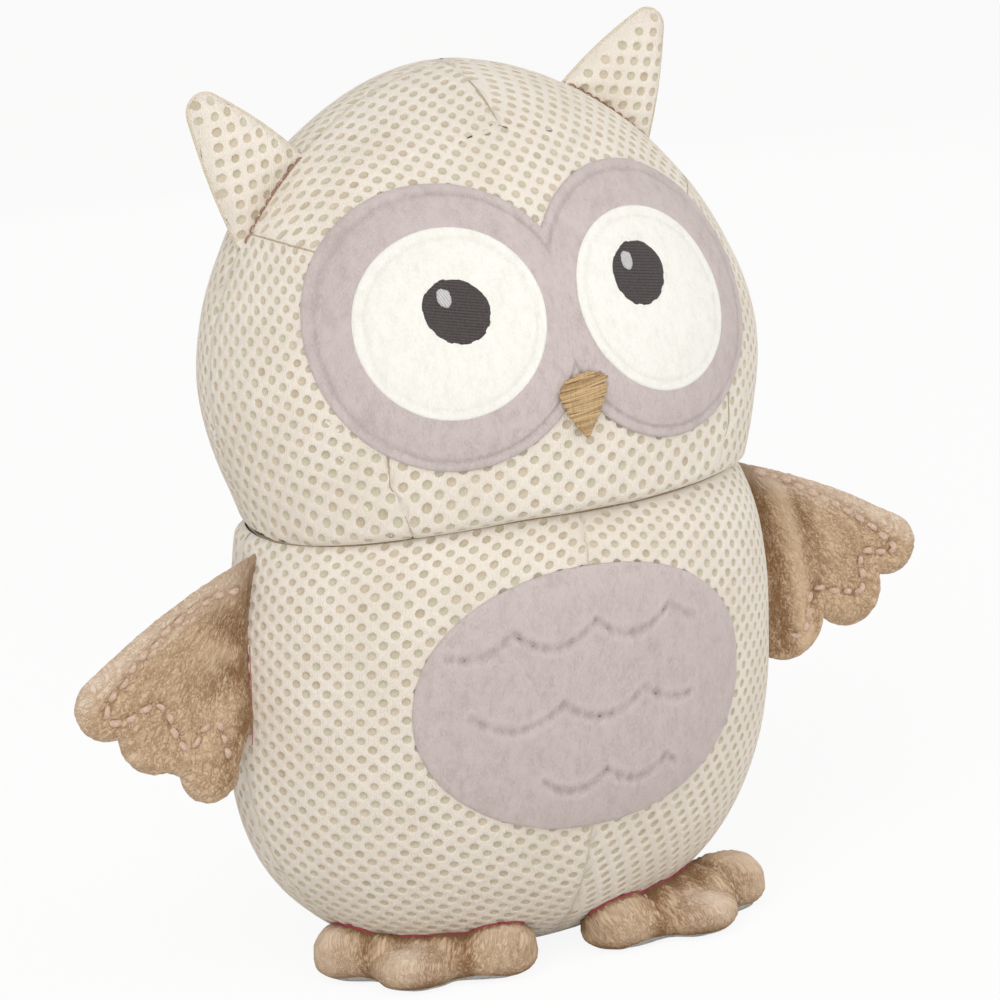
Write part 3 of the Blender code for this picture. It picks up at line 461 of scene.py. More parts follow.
def holed_panel(place, span, turn=0.0, shift=(0.0, 0.0), covered=None, seed=0):
    """Points, faces and values of a stretch of fabric with rows of round holes.

    place(u, v) gives points on the skin, their normals and how far each lies inside the panel's edge.
    """
    owl = settings()
    wide, tall = owl.row_pitch / 2, owl.column_pitch / 2
    reach = max(abs(value) for value in span) * 1.45 + 2 * owl.row_pitch
    columns, rows = int(reach / wide) + 2, int(reach / tall) + 2
    i, j = np.meshgrid(np.arange(-columns, columns + 1), np.arange(-rows, rows + 1), indexing="ij")
    keep = (i + j) % 2 == 0
    i, j = i[keep], j[keep]
    rotation = np.array(((math.cos(turn), -math.sin(turn)), (math.sin(turn), math.cos(turn))))

    def to_fabric(a, b):
        flat = np.stack((a, b), 1) @ rotation.T + np.array(shift)
        return flat[:, 0], flat[:, 1]

    centre_u, centre_v = to_fabric(i * wide, j * tall)
    margin = 1.5 * owl.row_pitch
    near = (
        (centre_u > span[0] - margin)
        & (centre_u < span[1] + margin)
        & (centre_v > span[2] - margin)
        & (centre_v < span[3] + margin)
    )
    i, j, centre_u, centre_v = i[near], j[near], centre_u[near], centre_v[near]
    corner = np.array(((2, 0), (1, 1), (0, 2), (-1, 1), (-2, 0), (-1, -1), (0, -2), (1, -1)))
    keys = np.stack((2 * i[:, None] + corner[:, 0], 2 * j[:, None] + corner[:, 1]), 2)
    unique, index = np.unique(keys.reshape(-1, 2), axis=0, return_inverse=True)
    index = index.reshape(-1, 8)
    outer_u, outer_v = to_fabric(unique[:, 0] * wide / 2, unique[:, 1] * tall / 2)
    outer, outer_normals, outer_edge = place(outer_u, outer_v)
    inside = outer_edge[index].max(1) > 0.05 * MM
    index, centre_u, centre_v = index[inside], centre_u[inside], centre_v[inside]
    if hasattr(place, "owns"):
        owned = place.owns(centre_u, centre_v)
        index, centre_u, centre_v = index[owned], centre_u[owned], centre_v[owned]
    middle, _, centre_edge = place(centre_u, centre_v)
    holed = centre_edge > 0.75 * MM
    if covered is not None:
        holed &= ~covered(middle)
    turns = np.arctan2(corner[:, 1] * tall, corner[:, 0] * wide)
    half = np.array((owl.hole_width / 2, owl.hole_height / 2))
    chance = np.random.default_rng(seed)
    count = len(index)
    tint = chance.uniform(0, 1, count)
    size = chance.uniform(0.93, 1.07, count)
    rings = ((1.15, 0.03, 0.0), (0.98, 0.35, 0.6), (0.80, 0.92, 1.0))
    points, values, tints = [outer], [np.zeros(len(outer))], [np.full(len(outer), 0.5)]
    u_all, v_all = [outer_u], [outer_v]
    start = len(outer)
    ring_starts = []
    h = np.flatnonzero(holed)
    for scale, depth, value in rings:
        across = size[h, None] * scale * half[0] * np.cos(turns)
        upward = size[h, None] * scale * half[1] * np.sin(turns)
        u = centre_u[h, None] + across * rotation[0, 0] + upward * rotation[0, 1]
        v = centre_v[h, None] + across * rotation[1, 0] + upward * rotation[1, 1]
        spots, normals, edge = place(u.ravel(), v.ravel())
        fade = smooth(edge, 0.0, 1.6 * MM)
        points.append(spots - normals * (owl.hole_depth * depth * fade)[:, None])
        values.append(np.full(len(spots), value))
        tints.append(np.repeat(tint[h], 8))
        u_all.append(u.ravel())
        v_all.append(v.ravel())
        ring_starts.append(start)
        start += len(spots)
    around = np.arange(8)
    after = (around + 1) % 8
    faces = []
    loops = [index[h]] + [first + np.arange(len(h) * 8).reshape(-1, 8) for first in ring_starts]
    for out_loop, in_loop in zip(loops, loops[1:]):
        quads = np.stack((out_loop[:, around], out_loop[:, after], in_loop[:, after], in_loop[:, around]), 2)
        faces += quads.reshape(-1, 4).tolist()
    faces += loops[-1].tolist()
    faces += index[~holed].tolist()
    attributes = {
        "hole": np.concatenate(values),
        "tint": np.concatenate(tints),
        "fabric_u": np.concatenate(u_all),
        "fabric_v": np.concatenate(v_all),
    }
    return np.concatenate(points), faces, attributes


def clean(points, faces, attributes):
    """Leaves out faces without area, which lie past an edge, and points that no face uses."""
    kept = []
    for size in (4, 8):
        group = np.array([face for face in faces if len(face) == size], int).reshape(-1, size)
        corners = points[group]
        crossed = np.cross(corners - corners[:, :1], np.roll(corners, -1, 1) - corners[:, :1]).sum(1)
        kept += group[np.linalg.norm(crossed, axis=1) > 1e-9].tolist()
    used = np.unique(np.concatenate([np.asarray(face) for face in kept]))
    new = np.full(len(points), -1)
    new[used] = np.arange(len(used))
    faces = [[int(new[i]) for i in face] for face in kept]
    return points[used], faces, {key: values[used] for key, values in attributes.items()}


def turned_over(panel):
    return panel[0], flipped(panel[1]), panel[2]


def near_neck(nominal):
    """Upright seams are drawn in less close to the neck, where the crease takes over."""
    return 0.15 + 0.85 * smooth(np.abs(nominal - NECK_Z), 0.5 * MM, 6 * MM)


class RingPanel:
    """A panel of a form, between two heights and two turns round it, with an upright thread line."""

    def __init__(self, form, middle_turn, low, high, first_turn, last_turn, seam=None):
        self.form = form
        self.middle = middle_turn
        self.first_turn, self.last_turn = first_turn, last_turn
        self.depth, self.width = seam or (SEAM_DEPTH, SEAM_WIDTH)
        self.nominal = low + (high - low) * smooth(np.linspace(0, 1, 400), 0, 1)
        self.climb = lengths_along(form.ring_points(self.nominal, np.full(400, middle_turn)))
        self.middle_around = np.interp(middle_turn, form.turns, form.around)

    def __call__(self, u, v):
        form = self.form
        up = np.clip(v, 0, self.climb[-1])
        nominal = np.interp(up, self.climb, self.nominal)
        swell = form.full_axes(nominal, form.centre(nominal))[0] / form.half_width
        around = self.middle_around + u / swell
        first = np.interp(self.first_turn(nominal), form.turns, form.around)
        last = np.interp(self.last_turn(nominal), form.turns, form.around)
        side = np.minimum(around - first, last - around) * swell
        edge = np.minimum(np.minimum(v, self.climb[-1] - v), side)
        turn = np.interp(np.clip(around, first, last), form.around, form.turns)
        points = form.ring_points(nominal, turn)
        seam = np.minimum(side, v) if form is BODY else side
        depth = self.depth * smooth(swell, 0.01, 0.05) * near_neck(nominal)
        points, normals = form.skin(points, -depth * roll_in(seam, self.width))
        return points, normals, edge

    def span(self):
        reach = self.form.girth / 3
        return (-reach, reach, 0, self.climb[-1])


def cast(form, origin, directions):
    """Where rays from inside a form meet its skin."""
    origin = np.asarray(origin)
    low, high = np.zeros(len(directions)), np.full(len(directions), 0.12)
    for _ in range(30):
        middle = (low + high) / 2
        places = origin + directions * middle[:, None]
        inside = (form.level(places) < 0) & (places[:, 2] < form.mid + form.upper)
        inside &= places[:, 2] > neck_height(places[:, 1])
        low, high = np.where(inside, middle, low), np.where(inside, high, middle)
    return origin + directions * low[:, None]


def low_dart_reach(nominal):
    """How far out the dart under the mask lies, at the height of a ring."""
    return np.interp(nominal, LOW_DART_HEIGHTS, LOW_DART_REACH)


def low_dart_turn(side):
    """The turn round the head at which the dart under the mask meets a ring."""

    def turn(nominal):
        y = HEAD.centre(nominal) - 0.04
        width, _ = HEAD.full_axes(nominal, y)
        return -math.pi / 2 + side * np.arcsin(np.clip(low_dart_reach(nominal) / width, 0, 1))

    return turn


class FaceSector:
    """A stretch of the head's front panel between two darts, laid flat round the panel's pole."""

    edges = None

    def __init__(self, first, last, joined=0):
        self.joined = joined
        self.first, self.last = math.radians(first), math.radians(last)
        self.middle = (self.first + self.last) / 2
        self.tilts = np.linspace(0, FACE_WIDEST_TILT, 160)
        self.lengths = lengths_along(self.cast_at(self.tilts, np.full(160, self.middle)))
        if FaceSector.edges is None:
            FaceSector.edges = self.find_edges()

    @staticmethod
    def cast_at(tilt, around):
        out = np.sin(tilt)
        directions = np.stack((out * np.cos(around), -np.cos(tilt), out * np.sin(around)), 1)
        return cast(HEAD, FACE_POLE, directions)

    @classmethod
    def find_edges(cls):
        """For each direction, how far the panel reaches before the side seam or the neck."""
        around = np.radians(np.arange(0, 360.1, 0.2))
        tilts = np.linspace(0.3, FACE_WIDEST_TILT, 100)
        grid_around, grid_tilt = np.meshgrid(around, tilts, indexing="ij")
        past = cls.is_past(grid_tilt.ravel(), grid_around.ravel()).reshape(grid_tilt.shape)
        past[:, -1] = True
        first = past.argmax(1)
        low, high = tilts[np.maximum(first - 1, 0)], tilts[first]
        for _ in range(12):
            middle = (low + high) / 2
            past = cls.is_past(middle, around)
            low, high = np.where(past, low, middle), np.where(past, middle, high)
        return around, high

    @classmethod
    def is_past(cls, tilt, around):
        places = cls.cast_at(tilt, around)
        return (places[:, 1] > HEAD_SEAM_Y) | (places[:, 2] - neck_height(places[:, 1]) < NECK_GAP)

    @staticmethod
    def gather(tilt):
        """How much of its breadth the fabric keeps between two darts."""
        full = np.sinc(tilt / math.pi)
        return 1 + smooth(tilt, DART_START - math.radians(2), DART_FULL) * (full - 1)

    def aim(self, u, v):
        """How far from the pole a flat place lies, and in which direction from the sector's middle."""
        tilt = np.interp(np.hypot(u, v), self.lengths, self.tilts)
        return tilt, (np.arctan2(v, u) - self.middle + math.pi) % math.tau - math.pi

    def __call__(self, u, v):
        far = np.hypot(u, v)
        tilt, turn = self.aim(u, v)
        around = turn / self.gather(tilt)
        half = (self.last - self.first) / 2
        side = (half - np.abs(around)) * self.gather(tilt) * np.maximum(far, 0.002)
        whole = (self.joined * around > 0) & (tilt < DART_START)
        side = np.where(whole, 1.0, side)
        around = np.where(whole, around, np.clip(around, -half, half)) + self.middle
        limit = np.interp(around % math.tau, *self.edges)
        limit_far = np.interp(limit, self.tilts, self.lengths)
        rim = limit_far - far
        tilt = np.minimum(tilt, limit)
        points = self.cast_at(tilt, around)
        seam = np.where(points[:, 1] > HEAD_SEAM_Y - 6 * MM, rim, 1.0)
        dart = np.where(tilt > DART_START, side, 1.0)
        drop = DART_DEPTH * roll_in(dart, DART_WIDTH) * smooth(tilt, DART_START, DART_START + 0.09)
        nominal = ring_height(points[:, 2], points[:, 1])
        drop = np.maximum(drop, SEAM_DEPTH * near_neck(nominal) * roll_in(seam, SEAM_WIDTH))
        line = low_dart_reach(nominal)
        past = (np.abs(points[:, 0]) - line) * 1.25
        lower = points[:, 2] < LOW_DART_TOP
        cut = lower & (past < 0)
        points[cut] = HEAD.front_points((np.sign(points[:, 0]) * line)[cut], points[cut, 2])
        beyond = np.where(lower, past, 1.0)
        drop = np.maximum(drop, DART_DEPTH * roll_in(beyond, DART_WIDTH))
        points, normals = HEAD.skin(points, -drop)
        return points, normals, np.minimum(np.minimum(side, rim), beyond)

    def owns(self, u, v):
        """Where the fabric runs on into the next sector, each hole belongs to only one of the two."""
        tilt, turn = self.aim(u, v)
        half = (self.last - self.first) / 2
        return (tilt >= DART_START) | (self.joined * turn < half + 1e-9 * self.joined)

    def span(self):
        reach = self.lengths[-1]
        return (-reach, reach, -reach, reach)


# Finishes


class Value:
    """A number in a material's nodes, for sums written as Python."""

    def __init__(self, finish, socket):
        self.finish, self.socket = finish, socket

    def math(self, operation, first, second=None):
        sockets = {0: first}
        if second is not None:
            sockets[1] = second
        node = self.finish.add("Math", {"operation": operation}, sockets)
        return Value(self.finish, node.outputs[0])

    def __add__(self, other):
        return self.math("ADD", self, other)

    __radd__ = __add__

    def __sub__(self, other):
        return self.math("SUBTRACT", self, other)

    def __rsub__(self, other):
        return self.math("SUBTRACT", other, self)

    def __mul__(self, other):
        return self.math("MULTIPLY", self, other)

    __rmul__ = __mul__

    def __truediv__(self, other):
        return self.math("DIVIDE", self, other)

    def sine(self):
        return self.math("SINE", self)

    def step(self, low, high):
        """0 below low, 1 above high."""
        sockets = {"Value": self, "From Min": low, "From Max": high, "To Min": 0.0, "To Max": 1.0}
        node = self.finish.add("MapRange", {"interpolation_type": "SMOOTHSTEP"}, sockets)
        return Value(self.finish, node.outputs[0])


class Finish:
    """A material, or the world, that is wired up one node at a time."""

    def __init__(self, name, kind="Material"):
        store = bpy.data.worlds if kind == "World" else bpy.data.materials
        self.owner = store.new(name)
        self.owner.use_nodes = True
        self.tree = self.owner.node_tree
        self.tree.nodes.clear()
        self.output = self.add("Output" + kind)
        if kind == "Material":
            MATERIALS[name] = self.owner

    def add(self, kind, options=None, sockets=None):
        node = self.tree.nodes.new("ShaderNode" + kind)
        for key, value in (options or {}).items():
            setattr(node, key, value)
        for key, value in (sockets or {}).items():
            socket = node.inputs[key]
            if isinstance(value, Value):
                value = value.socket
            if isinstance(value, bpy.types.NodeSocket):
                self.tree.links.new(value, socket)
            elif isinstance(value, tuple) and len(value) == 3 and socket.type == "RGBA":
                socket.default_value = (*value, 1)
            else:
                socket.default_value = value
        return node

    def attribute(self, name):
        return Value(self, self.add("Attribute", {"attribute_name": name}).outputs["Fac"])

    def place(self):
        return self.add("TexCoord").outputs["Object"]

    def stretched(self, rotation, scale):
        mapping = self.add("Mapping", {}, {"Vector": self.place(), "Rotation": rotation, "Scale": scale})
        return mapping.outputs[0]

    def noise(self, size, detail=2.0, place=None, distortion=0.0):
        """Noise from 0 to 1 with lumps of about this size in metres."""
        sockets = {
            "Vector": place or self.place(),
            "Scale": 1 / size,
            "Detail": detail,
            "Distortion": distortion,
        }
        return Value(self, self.add("TexNoise", {}, sockets).outputs["Fac"])

    def mix(self, factor, first, second):
        return self.add("Mix", {"data_type": "RGBA"}, {0: factor, 6: first, 7: second}).outputs[2]

    def bump(self, height, distance, strength):
        sockets = {"Height": height, "Distance": distance, "Strength": strength}
        return self.add("Bump", {}, sockets).outputs[0]

    def show(self, shader):
        self.tree.links.new(shader.outputs[0], self.output.inputs[0])

    def surface(self, colour, roughness, normal, sheen, sheen_tint=(1, 1, 1), specular=0.3):
        sockets = {
            "Base Color": colour,
            "Roughness": roughness,
            "Normal": normal,
            "Sheen Weight": sheen,
            "Sheen Roughness": 0.45,
            "Sheen Tint": sheen_tint,
            "Specular IOR Level": specular,
        }
        self.show(self.add("BsdfPrincipled", {}, sockets))


def mesh_fabric_finish(name, cream, shade, pale_hole, deep_hole, olive_hole):
    """Knitted fabric: fine ribs between round holes, with the second layer of yarn in the holes."""
    finish = Finish(name)
    hole = finish.attribute("hole").step(0.25, 0.72)
    tint = finish.attribute("tint")
    u, v = finish.attribute("fabric_u"), finish.attribute("fabric_v")
    fine = finish.noise(0.42 * MM, 3.0, distortion=0.6)
    broad = finish.noise(14 * MM, 2.0)
    ribs = (u * (math.tau / (0.62 * MM)) + (v * (math.tau / (1.24 * MM))).sine() * 1.3).sine()
    base = finish.mix((fine * 0.55 + broad * 0.6).step(0.30, 0.78), shade, cream)
    inside = finish.mix(tint.step(0.0, 1.0), deep_hole, pale_hole)
    inside = finish.mix((tint * 7.3).sine().step(0.1, 0.9), inside, olive_hole)
    grain = finish.noise(0.30 * MM, 2.0)
    inside = finish.mix(grain.step(0.35, 0.7) * 0.35, inside, shade)
    colour = finish.mix(hole, base, inside)
    height = (ribs * 0.25 + fine) * (1 - hole * 0.5)
    normal = finish.bump(height, 0.22 * MM, 0.75)
    finish.surface(colour, 0.88, normal, sheen=0.12)


def plush_finish(name, top, low, pale, clump, depth, contrast=0.9):
    """Short upright pile: fine strands and clumps of them, with painted shade where the pile lies low between them.
    """
    strand, length = 0.30 * MM, 2.2
    finish = Finish(name)
    drawn = finish.stretched((0.0, 0.0, 0.0), (1.0, 1.0, 1.0 / length))
    strands = finish.noise(strand, 2.0, drawn, distortion=1.2)
    curls = finish.noise(strand * 2.6, 2.0, drawn, distortion=1.8)
    clumps = finish.noise(clump, 2.0, drawn, distortion=0.5)
    pile = finish.attribute("pile")
    height = strands * 0.55 + curls * 0.6 + clumps * 0.5
    # The colour follows the same noise as the bumps and the pile value, so the low colour is painted shade where the
    # pile lies low
    level = strands * 0.5 + curls * 0.8 + clumps * 0.4 + pile * 0.55
    colour = finish.mix(level.step(0.95 - 0.42 * contrast, 0.95 + 0.46 * contrast), low, top)
    colour = finish.mix(finish.attribute("pale_band_and_highlight") * 0.75, colour, pale)
    normal = finish.bump(height, depth, 0.85)
    finish.surface(colour, 0.95, normal, sheen=0.35, sheen_tint=top, specular=0.15)


def curly_finish(name, top, low, pale, pale_low):
    """Crinkled pile: short tufts along the nap, with thin creases between them that are painted darker as shade."""
    finish = Finish(name)
    along, across = finish.attribute("nap_along"), finish.attribute("nap_across")
    nap = finish.add("CombineXYZ", {}, {0: along / 2.0, 1: across}).outputs[0]
    curl = finish.noise(0.80 * MM, 1.0, nap, distortion=1.1)
    fine = finish.noise(0.30 * MM, 2.0, nap, distortion=0.8)
    broad = finish.noise(5 * MM, 2.0)
    tuft = curl.math("ABSOLUTE", curl - 0.5)
    pile, pale_band_and_highlight = finish.attribute("pile"), finish.attribute("pale_band_and_highlight")
    # The dark colours are painted shade in the creases and low tufts, following the bumps and the pile value; the
    # broad noise is tone that varies at random
    level = tuft.step(0.0, 0.17) * 0.36 + fine * 0.40 + broad * 0.30 + pile * 0.60
    bright = finish.mix(pale_band_and_highlight, top, pale)
    dark = finish.mix(pale_band_and_highlight, low, pale_low)
    colour = finish.mix(level.step(0.22, 1.22), dark, bright)
    height = tuft.step(0.0, 0.18) * 0.6 + fine * 0.35
    normal = finish.bump(height, 0.26 * MM, 0.8)
    finish.surface(colour, 0.95, normal, sheen=0.3, sheen_tint=top, specular=0.15)


def thread_finish(name, colour, shade):
    """Twisted yarn: fine strands and a soft gloss."""
    finish = Finish(name)
    strands = finish.noise(0.35 * MM, 2.0, distortion=0.8)
    tone = finish.mix(strands.step(0.3, 0.7), shade, colour)
    normal = finish.bump(strands, 0.10 * MM, 0.8)
    finish.surface(tone, 0.6, normal, sheen=0.2, specular=0.4)


def satin_finish(name, colour, shade, rotation, pitch, roughness):
    """Embroidery: thread laid side by side in one direction."""
    finish = Finish(name)
    drawn = finish.stretched(rotation, (1.0, 1.0, 0.12))
    strands = finish.noise(pitch, 2.0, drawn, distortion=0.2)
    # The pile value lightens the pupils' raised rows and darkens the beak's backing between its threads, as painted
    # light and shade; the beak's threads also differ in tone at random
    ridge = finish.attribute("pile")
    tone = finish.mix((strands * 0.7 + ridge * 0.5).step(0.25, 0.85), shade, colour)
    normal = finish.bump(strands, 0.14 * MM, 0.8)
    finish.surface(tone, roughness, normal, sheen=0.1, specular=0.4)


THREADS = {
    "topstitch_thread": ((222, 198, 178), (190, 160, 138)),
    "feather_thread": ((142, 126, 132), (100, 88, 94)),
    "seam_thread": ((166, 146, 116), (130, 108, 80)),
    "dart_thread": ((198, 182, 156), (164, 146, 118)),
    "mesh_seam": ((226, 216, 198), (200, 188, 166)),
    "ear_root_thread": ((182, 140, 112), (136, 98, 76)),
    "crimson_thread": ((178, 72, 82), (124, 40, 50)),
    "faded_crimson_thread": ((196, 126, 116), (164, 92, 86)),
}

# Embroidery: colour, shade, the way its threads turn in degrees, their pitch in mm and their roughness
EMBROIDERY = {
    "charcoal_thread": ((78, 70, 70), (44, 40, 40), 12, 0.30, 0.7),
    "pale_thread": ((206, 204, 206), (160, 158, 160), 70, 0.30, 0.5),
    "golden_thread": ((206, 176, 132), (160, 128, 88), 84, 0.34, 0.55),
}


def make_finishes():
    owl = settings()
    holes = (rgb(209, 196, 176), rgb(192, 177, 153), rgb(199, 193, 170))
    mesh_fabric_finish("mesh_fabric", tuple(owl.cream), rgb(229, 219, 205), *holes)
    # The darker colour of each plush is painted shade for the pile's low places; the pale brown is the wings' pale
    # band and the toes' painted highlight
    curly_finish("brown_plush", tuple(owl.brown), rgb(132, 98, 66), rgb(224, 204, 184), rgb(176, 146, 120))
    mauve = (tuple(owl.mauve), rgb(180, 167, 165), rgb(216, 206, 206))
    plush_finish("mauve_plush", *mauve, clump=3.4 * MM, depth=0.28 * MM)
    fleece = (rgb(243, 242, 236), rgb(228, 225, 216), rgb(243, 242, 236))
    plush_finish("white_fleece", *fleece, clump=2.4 * MM, depth=0.22 * MM)
    for name, (colour, shade, turn, pitch, roughness) in EMBROIDERY.items():
        rotation = (0.0, math.radians(turn), 0.0)
        satin_finish(name, rgb(*colour), rgb(*shade), rotation, pitch * MM, roughness)
    for name, (colour, shade) in THREADS.items():
        thread_finish(name, rgb(*colour), rgb(*shade))
    fibre = Finish("fibre_stuffing")
    wisps = fibre.noise(0.5 * MM, 3.0, distortion=2.5)
    tone = fibre.mix(wisps.step(0.3, 0.7), rgb(214, 212, 208), rgb(246, 246, 244))
    fibre.surface(tone, 1.0, fibre.bump(wisps, 0.6 * MM, 1.0), sheen=0.3)


# Flat pieces laid on the front of a form


def patch_points(form, outline, middle, shares, height, lift=0.0):
    """Rings from the middle of a flat piece out to its outline, laid on the form at the height asked for."""
    outline = np.asarray(outline)
    middle = np.asarray(middle)
    flat = rings_between(middle, outline, shares)
    base = form.front_points(flat[:, 0], flat[:, 1])
    rise = height(flat, np.repeat(shares, len(outline)))
    points, _ = form.skin(base, rise + lift)
    tip_base = form.front_points(middle[:1], middle[1:])
    tip_rise = height(middle[None, :], np.zeros(1))
    tip, _ = form.skin(tip_base, tip_rise + lift)
    return np.concatenate((points, tip)), flat


def lay_piece(name, form, outline, middle, shares, height, finish, lift=0.0, grain=None):
    """A piece of cloth or embroidery on the front of a form, from its rim up and in to its middle."""
    shares = np.asarray(shares)
    points, flat = patch_points(form, outline, middle, shares, height, lift)
    faces = dome_faces(len(shares), len(outline))
    values = np.zeros(len(points)) + 0.5
    if grain is not None:
        values[:-1] = grain(flat)
    return make_mesh(name, points, faces, finish, {"pile": values})


def ring_shares(reach, step, edge_step=None):
    """Shares of the way out, evenly spaced, with closer ones near the rim."""
    count = max(4, int(reach / step))
    shares = list(np.linspace(0.5 / count, 1 - 1 / count, count))
    edge = edge_step or step / 3
    shares += [1 - 2.0 * edge / reach, 1 - 1.0 * edge / reach, 1 - 0.35 * edge / reach, 1.0]
    return np.unique(np.clip(shares, 0, 1))


def circle(centre, half_width, half_height, count):
    turns = full_turn(count)
    return np.stack((centre[0] + half_width * np.cos(turns), centre[1] + half_height * np.sin(turns)), 1)


class Oval:
    """A tilted oval on the front of the head. Its long axis leans towards the face's middle."""

    def __init__(self, centre, halves, tilt, side):
        self.centre = np.asarray(centre)
        self.halves = np.asarray(halves)
        long_axis = np.array((-side * math.cos(tilt), math.sin(tilt)))
        self.axes = np.stack((long_axis, (-long_axis[1], long_axis[0])))

    def parts(self, flat):
        return ((flat - self.centre) @ self.axes.T) / self.halves

    def inside(self, flat):
        """How far inside the oval's edge a place lies."""
        parts = self.parts(flat)
        share = np.maximum(1e-6, np.linalg.norm(parts, axis=1))
        slope = np.linalg.norm(parts / self.halves, axis=1) / share
        return (1 - share) / slope

    def reach(self, origin, rays):
        """How far rays go from a place inside the oval to its edge."""
        start = (np.asarray(origin) - self.centre) @ self.axes.T / self.halves
        along = rays @ self.axes.T / self.halves
        a, b, c = (along**2).sum(1), along @ start, start @ start - 1
        return (-b + np.sqrt(np.maximum(0, b * b - a * c))) / a

    def outline(self, count):
        turns = full_turn(count)
        rays = rays_at(turns)
        return self.centre + rays * self.reach(self.centre, rays)[:, None]


MASK = {name: Oval(MASK_OVALS[name], MASK_OVAL_HALVES, MASK_OVAL_TILT, side) for name, side in SIDES.items()}
EYES = {name: Oval(EYE_OVALS[name], EYE_OVAL_HALVES, EYE_OVAL_TILT, side) for name, side in SIDES.items()}
MASK_MIDDLE = (-0.0013, 0.1517)


def two_lobes(count):
    """The mask's outline: two oval lobes side by side."""
    turns = math.tau / 4 + full_turn(count)
    rays = rays_at(turns)
    reach = np.maximum(*(oval.reach(MASK_MIDDLE, rays) for oval in MASK.values()))
    return np.array(MASK_MIDDLE) + rays * reach[:, None]


def mask_depth(flat):
    """How far inside the mask's edge a place lies."""
    return np.maximum(*(oval.inside(flat) for oval in MASK.values()))


def lip(inside, rim=0.5 * MM):
    """The rounded edge of a piece: 0 at its outline, 1 a little way in."""
    share = np.clip(inside / rim, 0, 1)
    return np.sqrt(1 - (1 - share) ** 2)


def groove(inside, place, width):
    return np.exp(-(((inside - place) / width) ** 2))


def flat_noise(flat, size, seed):
    return soft_noise(np.stack((flat[:, 0], flat[:, 1], np.zeros(len(flat))), 1), size, seed)


def pile_noise(flat, seed, size=1.5 * MM, stretch=2.0):
    """Tufts of short pile, longer than they are wide."""
    drawn = np.stack((flat[:, 0] / size, flat[:, 1] / (size * stretch), np.zeros(len(flat))), 1)
    return 0.6 * soft_noise(drawn, 1.0, seed) + 0.4 * soft_noise(drawn * 2.1, 1.0, seed + 1)


MASK_BASE = 0.10 * MM
MASK_RISE = 0.75 * MM
EYE_BASE = 0.85 * MM
EYE_RISE = 0.50 * MM
PUPIL_BASE = 1.30 * MM
PUPIL_RISE = 0.40 * MM


def mask_height(flat, shares):
    inside = mask_depth(flat)
    inside = np.maximum(inside, (1 - shares) * 2 * MM)
    rise = MASK_RISE * lip(inside, 0.7 * MM)
    rise -= 0.38 * MM * groove(inside, 2.2 * MM, 0.38 * MM)
    rise += 0.2 * MM * smooth(inside, 2.4 * MM, 6 * MM)
    return rise + 0.09 * MM * pile_noise(flat, 11, 1.1 * MM) * lip(inside)


def mask_grain(flat):
    # Painted shade in the stitched groove, and the pile noise that raises the tufts also lightens them
    groove_shade = groove(mask_depth(flat), 2.2 * MM, 0.5 * MM)
    return 0.5 + 0.5 * pile_noise(flat, 11, 1.1 * MM) - 0.5 * groove_shade


def make_face():
    mask = lay_piece(
        "face_mask_plush",
        HEAD,
        two_lobes(400),
        MASK_MIDDLE,
        ring_shares(0.050, 0.7 * MM),
        mask_height,
        "mauve_plush",
        lift=MASK_BASE,
        grain=mask_grain,
    )
    dress(mask, "face_mask")
    for name, oval in EYES.items():

        def eye_height(flat, shares, oval=oval):
            inside = np.maximum(0, oval.inside(flat))
            rise = EYE_RISE * lip(inside, 0.6 * MM) - 0.22 * MM * groove(inside, 2.1 * MM, 0.32 * MM)
            return rise + 0.12 * MM * smooth(inside, 2.4 * MM, 5 * MM) + 0.05 * MM * pile_noise(flat, 21, 1.0 * MM)

        def eye_grain(flat, oval=oval):
            # Painted shade in the stitched groove, and the pile noise that raises the tufts also lightens them
            groove_shade = groove(oval.inside(flat), 2.1 * MM, 0.35 * MM)
            return 0.55 + 0.45 * pile_noise(flat, 21, 1.0 * MM) - 0.5 * groove_shade

        white = lay_piece(
            "eye_white_fleece_" + name,
            HEAD,
            oval.outline(180),
            oval.centre,
            ring_shares(EYE_OVAL_HALVES[0], 0.6 * MM),
            eye_height,
            "white_fleece",
            lift=EYE_BASE,
            grain=eye_grain,
        )
        dress(white, "eye_white_" + name)
        make_pupil(name)
    make_beak()


def jagged(outline, middle, seed, depth, count):
    """An outline whose edge shows the ends of the threads."""
    rays = outline - np.asarray(middle)
    chance = np.random.default_rng(seed)
    teeth = np.repeat(chance.uniform(-1, 0.4, count), len(outline) // count + 1)[: len(outline)]
    reach = np.linalg.norm(rays, axis=1, keepdims=True)
    return np.asarray(middle) + rays * (1 + depth * teeth[:, None] / reach)


